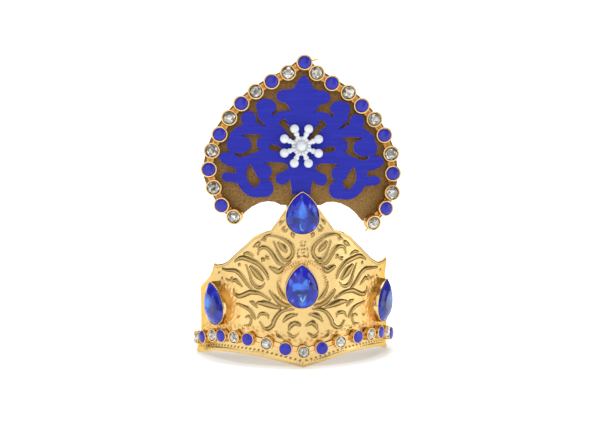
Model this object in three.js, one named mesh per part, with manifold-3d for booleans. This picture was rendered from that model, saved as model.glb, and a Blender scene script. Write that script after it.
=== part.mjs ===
// A small crown for a household idol. Millimetres, +Z up, front towards -Y.
// A bent gold band with a peak carries four pear stones and a cup chain. A leaf-shaped board
// stands behind the peak with a pierced blue panel, a pearl flower and a cup chain on its edge.
import * as THREE from 'three';
import { mergeVertices } from 'three/addons/utils/BufferGeometryUtils.js';
import Module from 'manifold-3d';

const wasm = await Module();
wasm.setup();

// Band: a half circle in plan with a straight strap behind each side
const bandRadius = 30.5;
const bandSheet = 0.8;
const bandHeight = 55;
const tailLength = 12;
const tailFlare = THREE.MathUtils.degToRad(4);
const footRise = 4.1;
const columnStep = 2.2;

// Raised ornament on the band
const reliefRise = 0.55;
const reliefWidth = 1.15;
const reliefRoot = 0.35;
const reliefStep = 2.8;
const reliefTaper = 0.35; // width left at a stroke's ends
const ringWide = 0.8; // as a share of reliefWidth, like a stroke's
const ringSteps = 12;
const collarWide = 1.3;

// Cup chains, all cups alike
const cupDiameter = 4.7;
const cupWall = 0.42;
const cupDepth = 2.6;
const cupPitch = 5.9;
const bandPitch = 5.5; // the band's chain is pushed together a little
const cupSides = 10;
const stoneSunk = 1.3;
const stoneFit = 0.15;
const cutCrown = 0.7;
const domeCrown = 0.85;
const barWidth = 2;
const barDepth = 0.7;
const wireThick = 0.5;
const wireStub = 2.4;
const topWireTurn = THREE.MathUtils.degToRad(8);
const endWireTurn = THREE.MathUtils.degToRad(-120);
const linkSeat = 0.1; // a link's back above the cups' backs
const endFootShare = 0.12; // the straps' chain rises from this share of footRise
const chainRise = 4.8;

// Pear stones in their bezels
const pearWide = 9.8;
const pearTall = 13.4;
const pearCrown = 1.7;
const pearGirdle = 0.35;
const pearPavilion = 0.7;
const pearTable = 0.55;
const pearWidest = 0.8623; // the largest value of the curve that shapes the outline
const pearFacets = 12;
const bezelWall = 0.4;
const bezelFloor = 0.5;
const centreStoneHeight = 26.2;
const topStoneDrop = 5; // from the band's peak down to the middle of the top stone
const sideStoneHeight = 18.9;
const sideStoneTurn = THREE.MathUtils.degToRad(56.6);
const sideStoneLean = THREE.MathUtils.degToRad(17);

// Board behind the peak, with its own origin at the flower. It is nearly as wide as the band.
const boardThick = 1.6;
const boardHubRise = 15.1; // from the band's peak up to the flower
const boardInset = 1.26; // the cup row lies this far inside the band's radius
const boardLean = THREE.MathUtils.degToRad(6);
const boardRoll = THREE.MathUtils.degToRad(1.2);
const boardMargin = 2;
const tabHalfWidth = 5;
const tabDrop = 27.5;
const chainTop = 26.85;

// Pierced panel and pearl flower
const fretMargin = 0.79; // between the panel and the cups at the sides
const fretTopMargin = 1.87; // and at the top
const fretThick = 2.2;
const flowerRadius = 6.1;
const flowerArms = 8;
const pearlOuter = 1.5;
const pearlMiddle = 0.92;
const pearlHub = 1.5;
const beadTouch = 0.85; // neighbouring beads overlap by the rest of a radius
const beadSides = 10;
const hubPlate = 0.9;
const hubStep = 1.4;
const hubCrown = 2.85;
const boardSteps = 22;
const lobeSides = 12;
const bodySides = 20;

// Clearance between pieces that are glued or soldered on the real crown
const seatGap = 0.3;

const cupRadius = cupDiameter / 2;
const boreRadius = cupRadius - cupWall;
const quarterArc = bandRadius * Math.PI / 2;
const halfBand = quarterArc + tailLength;
const topStoneHeight = bandHeight - topStoneDrop;
const boardHubHeight = bandHeight + boardHubRise;
const chainHalfSpan = bandRadius - boardInset;
const fretHalfWidth = chainHalfSpan - cupRadius - fretMargin;
const fretTop = chainTop - cupRadius - fretTopMargin;

// Band edges: how far along each half, and the two heights as shares of bandHeight and footRise
const bandEdges = [
  { along: 0, top: 1, foot: 0 },
  { along: 0.05, top: 0.958, foot: 0.2 },
  { along: 0.1, top: 0.908, foot: 0.4 },
  { along: 0.169, top: 0.8, foot: 0.66 },
  { along: 0.2, top: 0.79, foot: 0.78 },
  { along: 0.231, top: 0.777, foot: 0.88 },
  { along: 0.267, top: 0.757, foot: 0.94 },
  { along: 0.302, top: 0.72, foot: 0.99 },
  { along: 0.364, top: 0.665, foot: 1 },
  { along: 0.44, top: 0.6, foot: 0.99 },
  { along: 0.489, top: 0.571, foot: 0.93 },
  { along: 0.533, top: 0.574, foot: 0.86 },
  { along: 0.565, top: 0.585, foot: 0.78 },
  { along: 0.59, top: 0.53, foot: 0.68 },
  { along: 0.62, top: 0.49, foot: 0.56 },
  { along: 0.66, top: 0.458, foot: 0.42 },
  { along: 0.711, top: 0.43, foot: 0.25 },
  { along: 0.77, top: 0.4, foot: 0.12 },
  { along: 0.828, top: 0.365, foot: 0.05 },
  { along: 0.86, top: 0.3, foot: 0.03 },
  { along: 0.9, top: 0.2, foot: 0 },
  { along: 0.95, top: 0.165, foot: 0 },
  { along: 1, top: 0.165, foot: 0 },
];

// Scrollwork of one half of the band, as [across, up]: shares of bandRadius from the middle,
// seen from the front, and of bandHeight. wide is a share of reliefWidth.
const bandScrolls = [
  { name: 'upper paisley', wide: 1.1, path: [[0.424, 0.739], [0.357, 0.767], [0.286, 0.766],
    [0.221, 0.755], [0.159, 0.733], [0.123, 0.711], [0.104, 0.685], [0.107, 0.663], [0.13, 0.64],
    [0.172, 0.626], [0.205, 0.631], [0.237, 0.651], [0.26, 0.676], [0.298, 0.73]] },
  { name: 'upper drop', wide: 1.7, path: [[0.247, 0.725], [0.21, 0.702], [0.172, 0.677]] },
  { name: 's scroll', wide: 1.1, path: [[0.459, 0.655], [0.446, 0.683], [0.411, 0.697],
    [0.366, 0.693], [0.321, 0.668], [0.263, 0.617], [0.218, 0.601], [0.178, 0.598], [0.128, 0.618]] },
  { name: 'long leaf', wide: 1.3, path: [[0.687, 0.604], [0.653, 0.621], [0.614, 0.629],
    [0.564, 0.625], [0.456, 0.6], [0.383, 0.553], [0.357, 0.514]] },
  { name: 'lower paisley', wide: 1, path: [[0.579, 0.589], [0.539, 0.53], [0.523, 0.5],
    [0.491, 0.473], [0.45, 0.462], [0.415, 0.47], [0.395, 0.486]] },
  { name: 'lower drop', wide: 2, path: [[0.529, 0.58], [0.488, 0.555], [0.456, 0.533], [0.415, 0.509]] },
  { name: 'side branch', wide: 1.2, path: [[0.812, 0.542], [0.703, 0.55], [0.665, 0.543],
    [0.624, 0.524], [0.558, 0.472], [0.517, 0.448]] },
  { name: 'wave', wide: 1.3, path: [[0.701, 0.437], [0.69, 0.414], [0.65, 0.402], [0.595, 0.415],
    [0.545, 0.43], [0.491, 0.432], [0.427, 0.424], [0.338, 0.395]] },
  { name: 'bright leaf', wide: 1.6, path: [[0.337, 0.583], [0.288, 0.57], [0.248, 0.561], [0.202, 0.583]] },
  { name: 'wing leaf', wide: 1.7, path: [[0.461, 0.373], [0.399, 0.372], [0.329, 0.362], [0.242, 0.347]] },
  { name: 'lower branch', wide: 1.1, path: [[0.674, 0.359], [0.564, 0.335], [0.515, 0.306], [0.489, 0.276]] },
  { name: 'cradle', wide: 1.4, path: [[0.342, 0.444], [0.305, 0.424], [0.264, 0.393], [0.225, 0.379]] },
  { name: 'big scroll', wide: 1.2, path: [[0.101, 0.339], [0.173, 0.337], [0.232, 0.324],
    [0.273, 0.297], [0.3, 0.269], [0.314, 0.245], [0.355, 0.226], [0.399, 0.227], [0.442, 0.26]] },
  { name: 'heart', wide: 1.3, path: [[0.03, 0.245], [0.086, 0.26], [0.132, 0.244], [0.146, 0.221]] },
];
const ringRadius = 7.9;
const bossHeight = 1.3;
const bossRadius = 0.8;

// Cup row round the board: shares of chainHalfSpan across and of chainTop up from the flower
const boardRow = [
  { across: 0, up: 1 }, { across: 0.15, up: 0.863 }, { across: 0.323, up: 0.76 },
  { across: 0.49, up: 0.644 }, { across: 0.653, up: 0.497 }, { across: 0.785, up: 0.324 },
  { across: 0.893, up: 0.142 }, { across: 0.971, up: -0.07 }, { across: 1, up: -0.291 },
  { across: 0.975, up: -0.514 }, { across: 0.893, up: -0.71 }, { across: 0.766, up: -0.867 },
];
// Lower edge of the board from the lobe's tip to the tab, in the same shares
const boardUnder = [
  { across: 0.667, up: -0.866 }, { across: 0.6, up: -0.777 }, { across: 0.53, up: -0.715 },
  { across: 0.445, up: -0.668 }, { across: 0.36, up: -0.648 }, { across: 0.28, up: -0.655 },
  { across: 0.215, up: -0.69 },
];
// The last cups hang over the edge and lean outwards, counted from the end of the row
const cupLeans = [26, 19, 12].map(THREE.MathUtils.degToRad);

// Half of the pierced panel, from the flower: across in shares of fretHalfWidth, and up in the
// same unit while the panel keeps its real proportions. Bands run through [across, up, width].
const fretBands = [
  { name: 'finial', path: [[0, 0.867, 0.024], [0, 0.824, 0.106], [0, 0.781, 0.164], [0, 0.73, 0.225],
    [0, 0.679, 0.256], [0, 0.594, 0.293], [0, 0.526, 0.29], [0, 0.44, 0.218], [0, 0.338, 0.256]] },
  { name: 'arch', path: [[0.344, 0.269, 0.102], [0.319, 0.338, 0.106], [0.251, 0.384, 0.099],
    [0.173, 0.375, 0.112], [0.083, 0.316, 0.136], [0.005, 0.253, 0.17]] },
  { name: 'curl neck', path: [[0.461, 0.465, 0.187], [0.459, 0.363, 0.17], [0.389, 0.262, 0.187]] },
  { name: 'shoulder', path: [[0.795, 0.137, 0.153], [0.66, 0.195, 0.157], [0.507, 0.205, 0.164],
    [0.353, 0.186, 0.205], [0.215, 0.112, 0.256]] },
  { name: 'arm', path: [[0.939, -0.15, 0.126], [0.853, -0.166, 0.17], [0.72, -0.199, 0.136],
    [0.567, -0.155, 0.15], [0.415, -0.104, 0.17], [0.245, -0.076, 0.222]] },
  { name: 'lower lobe neck', path: [[0.9, -0.376, 0.095], [0.784, -0.386, 0.119], [0.699, -0.358, 0.153]] },
  { name: 'lower curl', path: [[0.727, -0.24, 0.153], [0.725, -0.342, 0.133], [0.694, -0.444, 0.143],
    [0.607, -0.53, 0.143], [0.508, -0.545, 0.136], [0.432, -0.515, 0.153]] },
  { name: 'inner lobe neck', path: [[0.55, -0.168, 0.119], [0.518, -0.252, 0.143], [0.459, -0.302, 0.17]] },
  { name: 'fleur neck', path: [[0.23, -0.374, 0.119], [0.138, -0.321, 0.136], [0.036, -0.285, 0.153]] },
  { name: 'stem', path: [[0, -0.173, 0.392], [0, -0.276, 0.307], [0, -0.361, 0.273],
    [0, -0.446, 0.256], [0, -0.497, 0.232], [0, -0.564, 0.232]] },
];
// Rounded lobes: centre and half sizes
const fretLobes = [
  { name: 'leaf', at: [0.225, 0.603], wide: 0.109, tall: 0.075 },
  { name: 'upper curl', at: [0.448, 0.482], wide: 0.123, tall: 0.094 },
  { name: 'pointed lobe', at: [0.649, 0.331], wide: 0.082, tall: 0.082 },
  { name: 'side curl', at: [0.762, 0.024], wide: 0.143, tall: 0.13 },
  { name: 'body', at: [0, 0.048], wide: 0.409, tall: 0.286 },
  { name: 'waist', at: [0.409, 0.031], wide: 0.143, tall: 0.143 },
  { name: 'arm end', at: [0.922, -0.145], wide: 0.075, tall: 0.065 },
  { name: 'lower lobe', at: [0.887, -0.376], wide: 0.072, tall: 0.058 },
  { name: 'lower curl end', at: [0.441, -0.5], wide: 0.106, tall: 0.109 },
  { name: 'inner lobe', at: [0.459, -0.302], wide: 0.099, tall: 0.095 },
  { name: 'fleur leaf', at: [0.235, -0.379], wide: 0.078, tall: 0.075 },
];
// Openings cut right through
const fretWindows = [
  { name: 't window', path: [[0.735, 0.132], [0.492, 0.137], [0.555, 0.067], [0.557, -0.008],
    [0.495, -0.027], [0.613, -0.067], [0.704, -0.12], [0.776, -0.132], [0.814, -0.081],
    [0.725, -0.09], [0.624, -0.03], [0.598, 0.022], [0.616, 0.076]] },
  { name: 'crescent', path: [[0.624, -0.217], [0.657, -0.276], [0.666, -0.341], [0.644, -0.417],
    [0.564, -0.495], [0.507, -0.423], [0.546, -0.364], [0.592, -0.297]] },
  { name: 'slit', path: [[0.579, 0.406], [0.533, 0.334], [0.443, 0.244], [0.511, 0.263], [0.564, 0.326]] },
  { name: 'upper slot', path: [[0.273, 0.271], [0.193, 0.283], [0.128, 0.199], [0.075, 0.089],
    [0.133, 0.114], [0.22, 0.211]] },
  { name: 'side slot', path: [[0.404, 0.006], [0.35, 0.027], [0.281, 0.001], [0.225, -0.035],
    [0.297, -0.053], [0.374, -0.038]] },
];

const finish = {
  gold: new THREE.MeshStandardMaterial({ color: 0xe2b860, roughness: 0.25, metalness: 1 }),
  boardPaint: new THREE.MeshStandardMaterial({ color: 0x7d5f2d, roughness: 0.6, metalness: 0.3 }),
  bluePaint: new THREE.MeshStandardMaterial({ color: 0x3038bc, roughness: 0.6, metalness: 0 }),
  blueGlass: new THREE.MeshStandardMaterial({ color: 0x1c3cc8, roughness: 0.05, metalness: 0.2 }),
  blueDome: new THREE.MeshStandardMaterial({ color: 0x262896, roughness: 0.2, metalness: 0 }),
  clearGlass: new THREE.MeshStandardMaterial({ color: 0xd8dbe0, roughness: 0.05, metalness: 0.2 }),
  pearl: new THREE.MeshStandardMaterial({ color: 0xe4e6e2, roughness: 0.25, metalness: 0 }),
};

// A closed surface with shared corners, no flat slivers and its faces pointing out
function closedSurface(geometry) {
  geometry.deleteAttribute('normal');
  geometry.deleteAttribute('uv');
  const merged = mergeVertices(geometry, 1e-5);
  const place = merged.attributes.position;
  const kept = [];
  let volume = 0;
  const [a, b, c] = [new THREE.Vector3(), new THREE.Vector3(), new THREE.Vector3()];
  for (let i = 0; i < merged.index.count; i += 3) {
    const corners = [merged.index.getX(i), merged.index.getX(i + 1), merged.index.getX(i + 2)];
    if (new Set(corners).size < 3) continue;
    kept.push(corners);
    [a, b, c].forEach((p, n) => p.fromBufferAttribute(place, corners[n]));
    volume += a.dot(b.cross(c));
  }
  merged.setIndex(kept.flatMap(([p, q, r]) => (volume > 0 ? [p, q, r] : [p, r, q])));
  return merged;
}

function toSolid(geometry) {
  const closed = closedSurface(geometry);
  return new wasm.Manifold(new wasm.Mesh({
    numProp: 3,
    vertProperties: Float32Array.from(closed.attributes.position.array),
    triVerts: Uint32Array.from(closed.index.array),
  }));
}

function toGeometry(solid) {
  const raw = solid.getMesh();
  const geometry = new THREE.BufferGeometry();
  geometry.setAttribute('position', new THREE.BufferAttribute(raw.vertProperties, 3));
  geometry.setIndex(Array.from(raw.triVerts));
  return geometry;
}

const joined = (solids) => solids.reduce((sum, next) => sum.add(next));
const copyAt = (geometry, matrix) => geometry.clone().applyMatrix4(matrix);

function piece(name, geometry, material, matrix) {
  const mesh = new THREE.Mesh(closedSurface(geometry), material);
  mesh.name = name;
  if (matrix) matrix.decompose(mesh.position, mesh.quaternion, mesh.scale);
  return mesh;
}

// A skin over rings of equally many points. It is capped at both ends, or closes on itself.
function loft(rings, endless = false) {
  const count = rings[0].length;
  const index = [];
  const last = endless ? rings.length : rings.length - 1;
  for (let r = 0; r < last; r += 1) {
    const next = ((r + 1) % rings.length) * count;
    for (let i = 0; i < count; i += 1) {
      const j = (i + 1) % count;
      index.push(r * count + i, r * count + j, next + j, r * count + i, next + j, next + i);
    }
  }
  if (!endless) {
    const end = (rings.length - 1) * count;
    for (let i = 1; i < count - 1; i += 1) {
      index.push(0, i + 1, i, end, end + i, end + i + 1);
    }
  }
  const geometry = new THREE.BufferGeometry();
  const flat = rings.flat().flatMap((p) => [p.x, p.y, p.z]);
  geometry.setAttribute('position', new THREE.Float32BufferAttribute(flat, 3));
  geometry.setIndex(index);
  return geometry;
}

// A turned body about its own Z axis, from a profile of [radius, height]
function turned(profile, sides) {
  const points = profile.map(([radius, height]) => new THREE.Vector2(radius, height));
  return new THREE.LatheGeometry(points, sides).rotateX(Math.PI / 2);
}

// A place on the band: along is the arc length from the middle, off stands out from the sheet
function bandPoint(along, height, off = 0) {
  const side = Math.sign(along);
  const past = Math.abs(along) - quarterArc;
  const out = bandOutward(along);
  if (past <= 0) {
    return new THREE.Vector3(out.x * (bandRadius + off), out.y * (bandRadius + off), height);
  }
  const x = side * (bandRadius + past * Math.sin(tailFlare));
  return new THREE.Vector3(x + out.x * off, past * Math.cos(tailFlare) + out.y * off, height);
}

function bandOutward(along) {
  const side = Math.sign(along);
  if (Math.abs(along) <= quarterArc) {
    const turn = along / bandRadius;
    return new THREE.Vector3(Math.sin(turn), -Math.cos(turn), 0);
  }
  return new THREE.Vector3(side * Math.cos(tailFlare), -Math.sin(tailFlare), 0);
}

// The heights of the band's edges at a place along it
function bandEdgeAt(along) {
  const share = Math.min(Math.abs(along) / halfBand, 1);
  const upper = Math.max(1, bandEdges.findIndex((row) => row.along >= share - 1e-9));
  const [from, to] = [bandEdges[upper - 1], bandEdges[upper]];
  const mix = (share - from.along) / (to.along - from.along);
  return {
    top: THREE.MathUtils.lerp(from.top, to.top, mix) * bandHeight,
    foot: THREE.MathUtils.lerp(from.foot, to.foot, mix) * footRise,
  };
}

// Right, up and out axes on the band, turned within the surface by lean
function bandFrame(along, height, off, lean = 0) {
  const out = bandOutward(along);
  const up = new THREE.Vector3(0, 0, 1).applyAxisAngle(out, lean);
  const right = new THREE.Vector3().crossVectors(up, out);
  const frame = new THREE.Matrix4().makeBasis(right, up, out);
  return frame.setPosition(bandPoint(along, height, off));
}

function bandColumns() {
  const half = [...bandEdges.map((row) => row.along * halfBand), quarterArc];
  for (let along = columnStep; along < halfBand; along += columnStep) half.push(along);
  half.sort((a, b) => a - b);
  const closest = columnStep / 5;
  const spaced = half.filter((along, i) => i === 0 || along - half[i - 1] > closest
    || bandEdges.some((row) => Math.abs(row.along * halfBand - along) < 1e-9));
  return [...spaced.slice(1).reverse().map((along) => -along), ...spaced];
}

function bandSheetSolid() {
  const rings = bandColumns().map((along) => {
    const { top, foot } = bandEdgeAt(along);
    return [
      bandPoint(along, foot), bandPoint(along, top),
      bandPoint(along, top, -bandSheet), bandPoint(along, foot, -bandSheet),
    ];
  });
  return toSolid(loft(rings));
}

// A raised ridge with a pointed back, along a curve of (along, height) on the band
function ridge(curve, wide, endless = false) {
  const steps = Math.max(3, Math.ceil(curve.getLength() / reliefStep));
  const rings = [];
  const count = endless ? steps : steps + 1;
  for (let i = 0; i < count; i += 1) {
    const t = i / steps;
    const at = curve.getPointAt(t);
    const heading = curve.getTangentAt(t);
    const taper = endless ? 1 : reliefTaper + (1 - reliefTaper) * Math.sin(Math.PI * t);
    const half = wide * reliefWidth * taper * (1 + reliefRoot / reliefRise) / 2;
    const [dx, dy] = [-heading.y * half, heading.x * half];
    rings.push([
      bandPoint(at.x - dx, at.y - dy, -reliefRoot),
      bandPoint(at.x + dx, at.y + dy, -reliefRoot),
      bandPoint(at.x, at.y, reliefRise),
    ]);
  }
  return toSolid(loft(rings, endless));
}

function bandCurve(path, side) {
  const points = path.map(([across, up]) => new THREE.Vector3(
    side * Math.asin(across) * bandRadius, up * bandHeight, 0));
  return new THREE.CatmullRomCurve3(points);
}

function pearOutline(wide, tall, count = pearFacets) {
  return Array.from({ length: count }, (_, i) => {
    const t = (i / count) * 2 * Math.PI;
    return new THREE.Vector2(
      (wide / 2) * Math.sin(t) * Math.sqrt(Math.sin(t / 2)) / pearWidest, (tall / 2) * Math.cos(t));
  });
}

// The raised collar on the forward side of a side stone, following its outline at a distance
function collarRidge(side) {
  const grow = 2 * (bezelWall + stoneFit + seatGap + reliefWidth);
  const points = pearOutline(pearWide + grow, pearTall + grow).slice(1, 5).map((p) => {
    const at = p.rotateAround(new THREE.Vector2(), sideStoneLean);
    return new THREE.Vector3(side * (sideStoneAlong - at.x), sideStoneHeight + at.y, 0);
  });
  return ridge(new THREE.CatmullRomCurve3(points), collarWide);
}

function crownBand() {
  const ringPoints = Array.from({ length: ringSteps }, (_, i) => {
    const turn = (i / ringSteps) * 2 * Math.PI;
    return new THREE.Vector3(ringRadius * Math.sin(turn), centreStoneHeight + ringRadius * Math.cos(turn), 0);
  });
  const raised = [ridge(new THREE.CatmullRomCurve3(ringPoints, true), ringWide, true)];
  for (const side of [-1, 1]) {
    for (const scroll of bandScrolls) raised.push(ridge(bandCurve(scroll.path, side), scroll.wide));
    raised.push(collarRidge(side));
  }
  const bossProfile = [[0, 0], [bossRadius, 0], [bossRadius * 0.75, 0.5], [0, 0.75]];
  const boss = turned(bossProfile, cupSides).translate(0, 0, -reliefRoot);
  raised.push(toSolid(copyAt(boss, bandFrame(0, bossHeight, 0))));
  return piece('crown_band', toGeometry(joined([bandSheetSolid(), ...raised])), finish.gold);
}

const sideStoneAlong = sideStoneTurn * bandRadius;

// Pear stone: flat back, girdle, a ring of crown facets and a table
function pearStone() {
  const outline = (share) => pearOutline(pearWide * share, pearTall * share);
  const ring = (share, height) => outline(share).map((p) => new THREE.Vector3(p.x, p.y, height));
  const girdle = bezelFloor + stoneFit + pearPavilion;
  return loft([
    ring(0.5, girdle - pearPavilion), ring(1, girdle), ring(1, girdle + pearGirdle),
    ring(pearTable, girdle + pearCrown),
  ]);
}

// Bezel: a pear-shaped cup with a thin wall up to the stone's girdle
function pearSetting() {
  const inner = 2 * stoneFit;
  const outer = inner + 2 * bezelWall;
  const rim = bezelFloor + stoneFit + pearPavilion + pearGirdle;
  const prism = (grow, from, to) => toSolid(loft([from, to].map((height) => (
    pearOutline(pearWide + grow, pearTall + grow).map((p) => new THREE.Vector3(p.x, p.y, height))))));
  return toGeometry(prism(outer, 0, rim).subtract(prism(inner, bezelFloor, rim + bezelFloor)));
}

const pearPlaces = [
  { name: 'top', along: 0, height: topStoneHeight, lean: 0 },
  { name: 'centre', along: 0, height: centreStoneHeight, lean: 0 },
  { name: 'left', along: -sideStoneAlong, height: sideStoneHeight, lean: sideStoneLean },
  { name: 'right', along: sideStoneAlong, height: sideStoneHeight, lean: -sideStoneLean },
];

function pears() {
  return pearPlaces.flatMap(({ name, along, height, lean }) => {
    const frame = bandFrame(along, height, seatGap + reliefRise, lean);
    return [
      piece(`${name}_setting`, pearSetting(), finish.gold, frame),
      piece(`${name}_stone`, pearStone(), finish.blueGlass, frame),
    ];
  });
}

function cup() {
  return turned([
    [0, 0], [cupRadius, 0], [cupRadius, cupDepth], [boreRadius, cupDepth],
    [boreRadius, cupDepth - stoneSunk - stoneFit], [0, cupDepth - stoneSunk - stoneFit],
  ], cupSides);
}

// Stones seated in the cups: a blue dome, or a clear stone with a table and ten facets
function cupStone(blue) {
  const radius = boreRadius - stoneFit;
  const base = cupDepth - stoneSunk;
  const crown = blue
    ? [[radius * 0.7, cupDepth + domeCrown * 0.65], [0, cupDepth + domeCrown]]
    : [[radius * 0.58, cupDepth + cutCrown], [0, cupDepth + cutCrown]];
  return turned([[0, base], [radius, base], [radius, cupDepth - stoneFit], ...crown], cupSides);
}

// A flat link from cup to cup, below the stones
function linkBar(from, to) {
  const [start, end] = [from, to].map((frame) => (
    new THREE.Vector3(0, 0, barDepth / 2 + linkSeat).applyMatrix4(frame)));
  const along = new THREE.Vector3().subVectors(end, start);
  const out = new THREE.Vector3(0, 0, 1).transformDirection(from)
    .add(new THREE.Vector3(0, 0, 1).transformDirection(to)).normalize();
  const run = along.clone().normalize();
  const cross = new THREE.Vector3().crossVectors(out, run).normalize();
  const frame = new THREE.Matrix4().makeBasis(run, cross, new THREE.Vector3().crossVectors(run, cross));
  frame.setPosition(start.add(end).multiplyScalar(0.5));
  const bar = new THREE.BoxGeometry(along.length() - cupRadius, barWidth, barDepth);
  return toSolid(copyAt(bar, frame));
}

function cupChain(name, frames, extras = []) {
  const cups = frames.map((frame) => toSolid(copyAt(cup(), frame)));
  const bars = frames.slice(1).map((frame, i) => linkBar(frames[i], frame));
  return piece(name, toGeometry(joined([...cups, ...bars, ...extras])), finish.gold);
}

function chainStones(name, frames, firstBlue) {
  return frames.map((frame, i) => {
    const blue = (i % 2 === 0) === firstBlue;
    const label = `${name}_${String(i + 1).padStart(2, '0')}`;
    return piece(label, cupStone(blue), blue ? finish.blueDome : finish.clearGlass, frame);
  });
}

// Frames of the band's cups, evenly spaced from the middle to the end of the half circle
function bandCupFrames() {
  const perSide = Math.floor(quarterArc / bandPitch);
  return Array.from({ length: 2 * perSide + 1 }, (_, i) => {
    const along = (i - perSide) * bandPitch;
    const rise = Math.max(bandEdgeAt(along).foot, footRise * endFootShare) + chainRise;
    return bandFrame(along, rise, seatGap);
  });
}

const rowPoint = ({ across, up }, side = 1) => (
  new THREE.Vector3(side * across * chainHalfSpan, up * chainTop, 0));

// Half of the board's cup row as a smooth curve from the top
function rowCurve(side = 1) {
  return new THREE.CatmullRomCurve3(boardRow.map((row) => rowPoint(row, side)));
}

// Frames of the board's cups in the board's own axes, from the lower left round to the right
function boardCupFrames() {
  const half = rowCurve();
  const length = half.getLength();
  const perSide = Math.floor(length / cupPitch + 0.05);
  const frameAt = (number, side) => {
    const share = Math.min(1, (number * cupPitch) / length);
    const at = half.getPointAt(share);
    const heading = half.getTangentAt(share);
    const lean = number === 0 ? 0 : cupLeans[perSide - number] ?? 0;
    const edge = new THREE.Vector3(side * -heading.y, heading.x, 0).normalize();
    const hinge = new THREE.Vector3(-edge.y, edge.x, 0);
    const turn = new THREE.Matrix4().makeRotationAxis(hinge, lean);
    const lift = seatGap + cupRadius * Math.sin(lean);
    return turn.setPosition(side * at.x, at.y, lift);
  };
  const left = Array.from({ length: perSide }, (_, i) => frameAt(perSide - i, -1));
  const right = Array.from({ length: perSide }, (_, i) => frameAt(i + 1, 1));
  return [...left, frameAt(0, 1), ...right];
}

// A short cut wire left where the chain was snipped
function wireEnd(frame, turn, length) {
  const wire = new THREE.CylinderGeometry(wireThick / 2, wireThick / 2, length + cupRadius, 6);
  wire.rotateZ(-Math.PI / 2).translate((length + cupRadius) / 2, 0, 0);
  wire.rotateZ(turn).translate(0, 0, barDepth);
  return toSolid(copyAt(wire, frame));
}

function outlineOfBoard() {
  const half = rowCurve();
  const edge = [];
  for (let i = 0; i <= boardSteps; i += 1) {
    const at = half.getPointAt(i / boardSteps);
    const heading = half.getTangentAt(i / boardSteps);
    edge.push(new THREE.Vector2(
      i === 0 ? 0 : at.x - heading.y * boardMargin, at.y + heading.x * boardMargin));
  }
  const under = boardUnder.map((row) => {
    const at = rowPoint(row);
    return new THREE.Vector2(at.x, at.y);
  });
  const tab = [new THREE.Vector2(tabHalfWidth, under.at(-1).y), new THREE.Vector2(tabHalfWidth, -tabDrop)];
  const right = [...edge, ...under, ...tab];
  const left = right.slice(1).reverse().map((p) => new THREE.Vector2(-p.x, p.y));
  return [...right, ...left];
}

const slab = (points, thick, from) => (
  new THREE.ExtrudeGeometry(new THREE.Shape(points), { depth: thick, bevelEnabled: false, steps: 1 })
    .translate(0, 0, from));

// The height unit of the panel's tables, which puts the finial's tip at fretTop
const fretRise = fretTop / fretBands[0].path[0][1];

function fretPoint([across, up], side) {
  return new THREE.Vector2(side * across * fretHalfWidth, up * fretRise);
}

function fretBand(path, side) {
  const spine = new THREE.SplineCurve(path.map((row) => fretPoint(row, side)));
  const widths = new THREE.SplineCurve(path.map((row, i) => new THREE.Vector2(i, row[2])));
  const steps = Math.max(6, path.length - 1);
  const [near, far] = [[], []];
  for (let i = 0; i <= steps; i += 1) {
    const at = spine.getPoint(i / steps);
    const heading = spine.getTangent(i / steps);
    const half = widths.getPoint(i / steps).y * fretHalfWidth / 2;
    near.push(new THREE.Vector2(at.x - heading.y * half, at.y + heading.x * half));
    far.unshift(new THREE.Vector2(at.x + heading.y * half, at.y - heading.x * half));
  }
  return [...near, ...far];
}

function fretLobe({ at, wide, tall }, side) {
  const centre = fretPoint(at, side);
  const sides = wide > 0.2 ? bodySides : lobeSides;
  return Array.from({ length: sides }, (_, i) => {
    const turn = (i / sides) * 2 * Math.PI;
    return new THREE.Vector2(
      centre.x + wide * fretHalfWidth * Math.cos(turn), centre.y + tall * fretRise * Math.sin(turn));
  });
}

function fretwork() {
  const from = seatGap;
  const raised = [];
  const cuts = [];
  for (const side of [-1, 1]) {
    const tall = (points) => toSolid(slab(points, fretThick, from));
    for (const { path } of fretBands) raised.push(tall(fretBand(path, side)));
    for (const lobe of fretLobes) raised.push(tall(fretLobe(lobe, side)));
    for (const { path } of fretWindows) {
      const smooth = new THREE.SplineCurve([...path, path[0]].map((row) => fretPoint(row, side)));
      const points = smooth.getPoints(path.length + 2).slice(0, -1);
      cuts.push(toSolid(slab(points, fretThick + 2 * seatGap, from - seatGap)));
    }
  }
  return piece('fretwork', toGeometry(joined(raised).subtract(joined(cuts))), finish.bluePaint);
}

// Eight arms of two beads each round a beaded hub, with a flat back
function pearlFlower() {
  const back = fretThick + 2 * seatGap;
  const bead = (radius, reach, rings) => (
    toSolid(new THREE.SphereGeometry(radius, beadSides, rings).rotateX(Math.PI / 2)
      .translate(reach, 0, radius)));
  const arms = [];
  for (let i = 0; i < flowerArms; i += 1) {
    const degrees = (i + 0.5) * 360 / flowerArms;
    const reachMiddle = flowerRadius - pearlOuter - pearlMiddle * beadTouch;
    const arm = joined([bead(pearlOuter, flowerRadius, 5), bead(pearlMiddle, reachMiddle, 4)]);
    arms.push(arm.rotate([0, 0, degrees]));
  }
  const hubRim = flowerRadius - pearlOuter - 2 * pearlMiddle * beadTouch;
  const hub = toSolid(turned([
    [0, 0], [hubRim, 0], [hubRim, hubPlate], [hubRim * 0.8, hubStep], [pearlHub, hubStep],
    [pearlHub * 0.8, hubCrown * 0.8], [pearlHub * 0.4, hubCrown * 0.96], [0, hubCrown],
  ], 16));
  return piece('pearl_flower', toGeometry(joined([hub, ...arms]).translate([0, 0, back])), finish.pearl);
}

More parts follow.
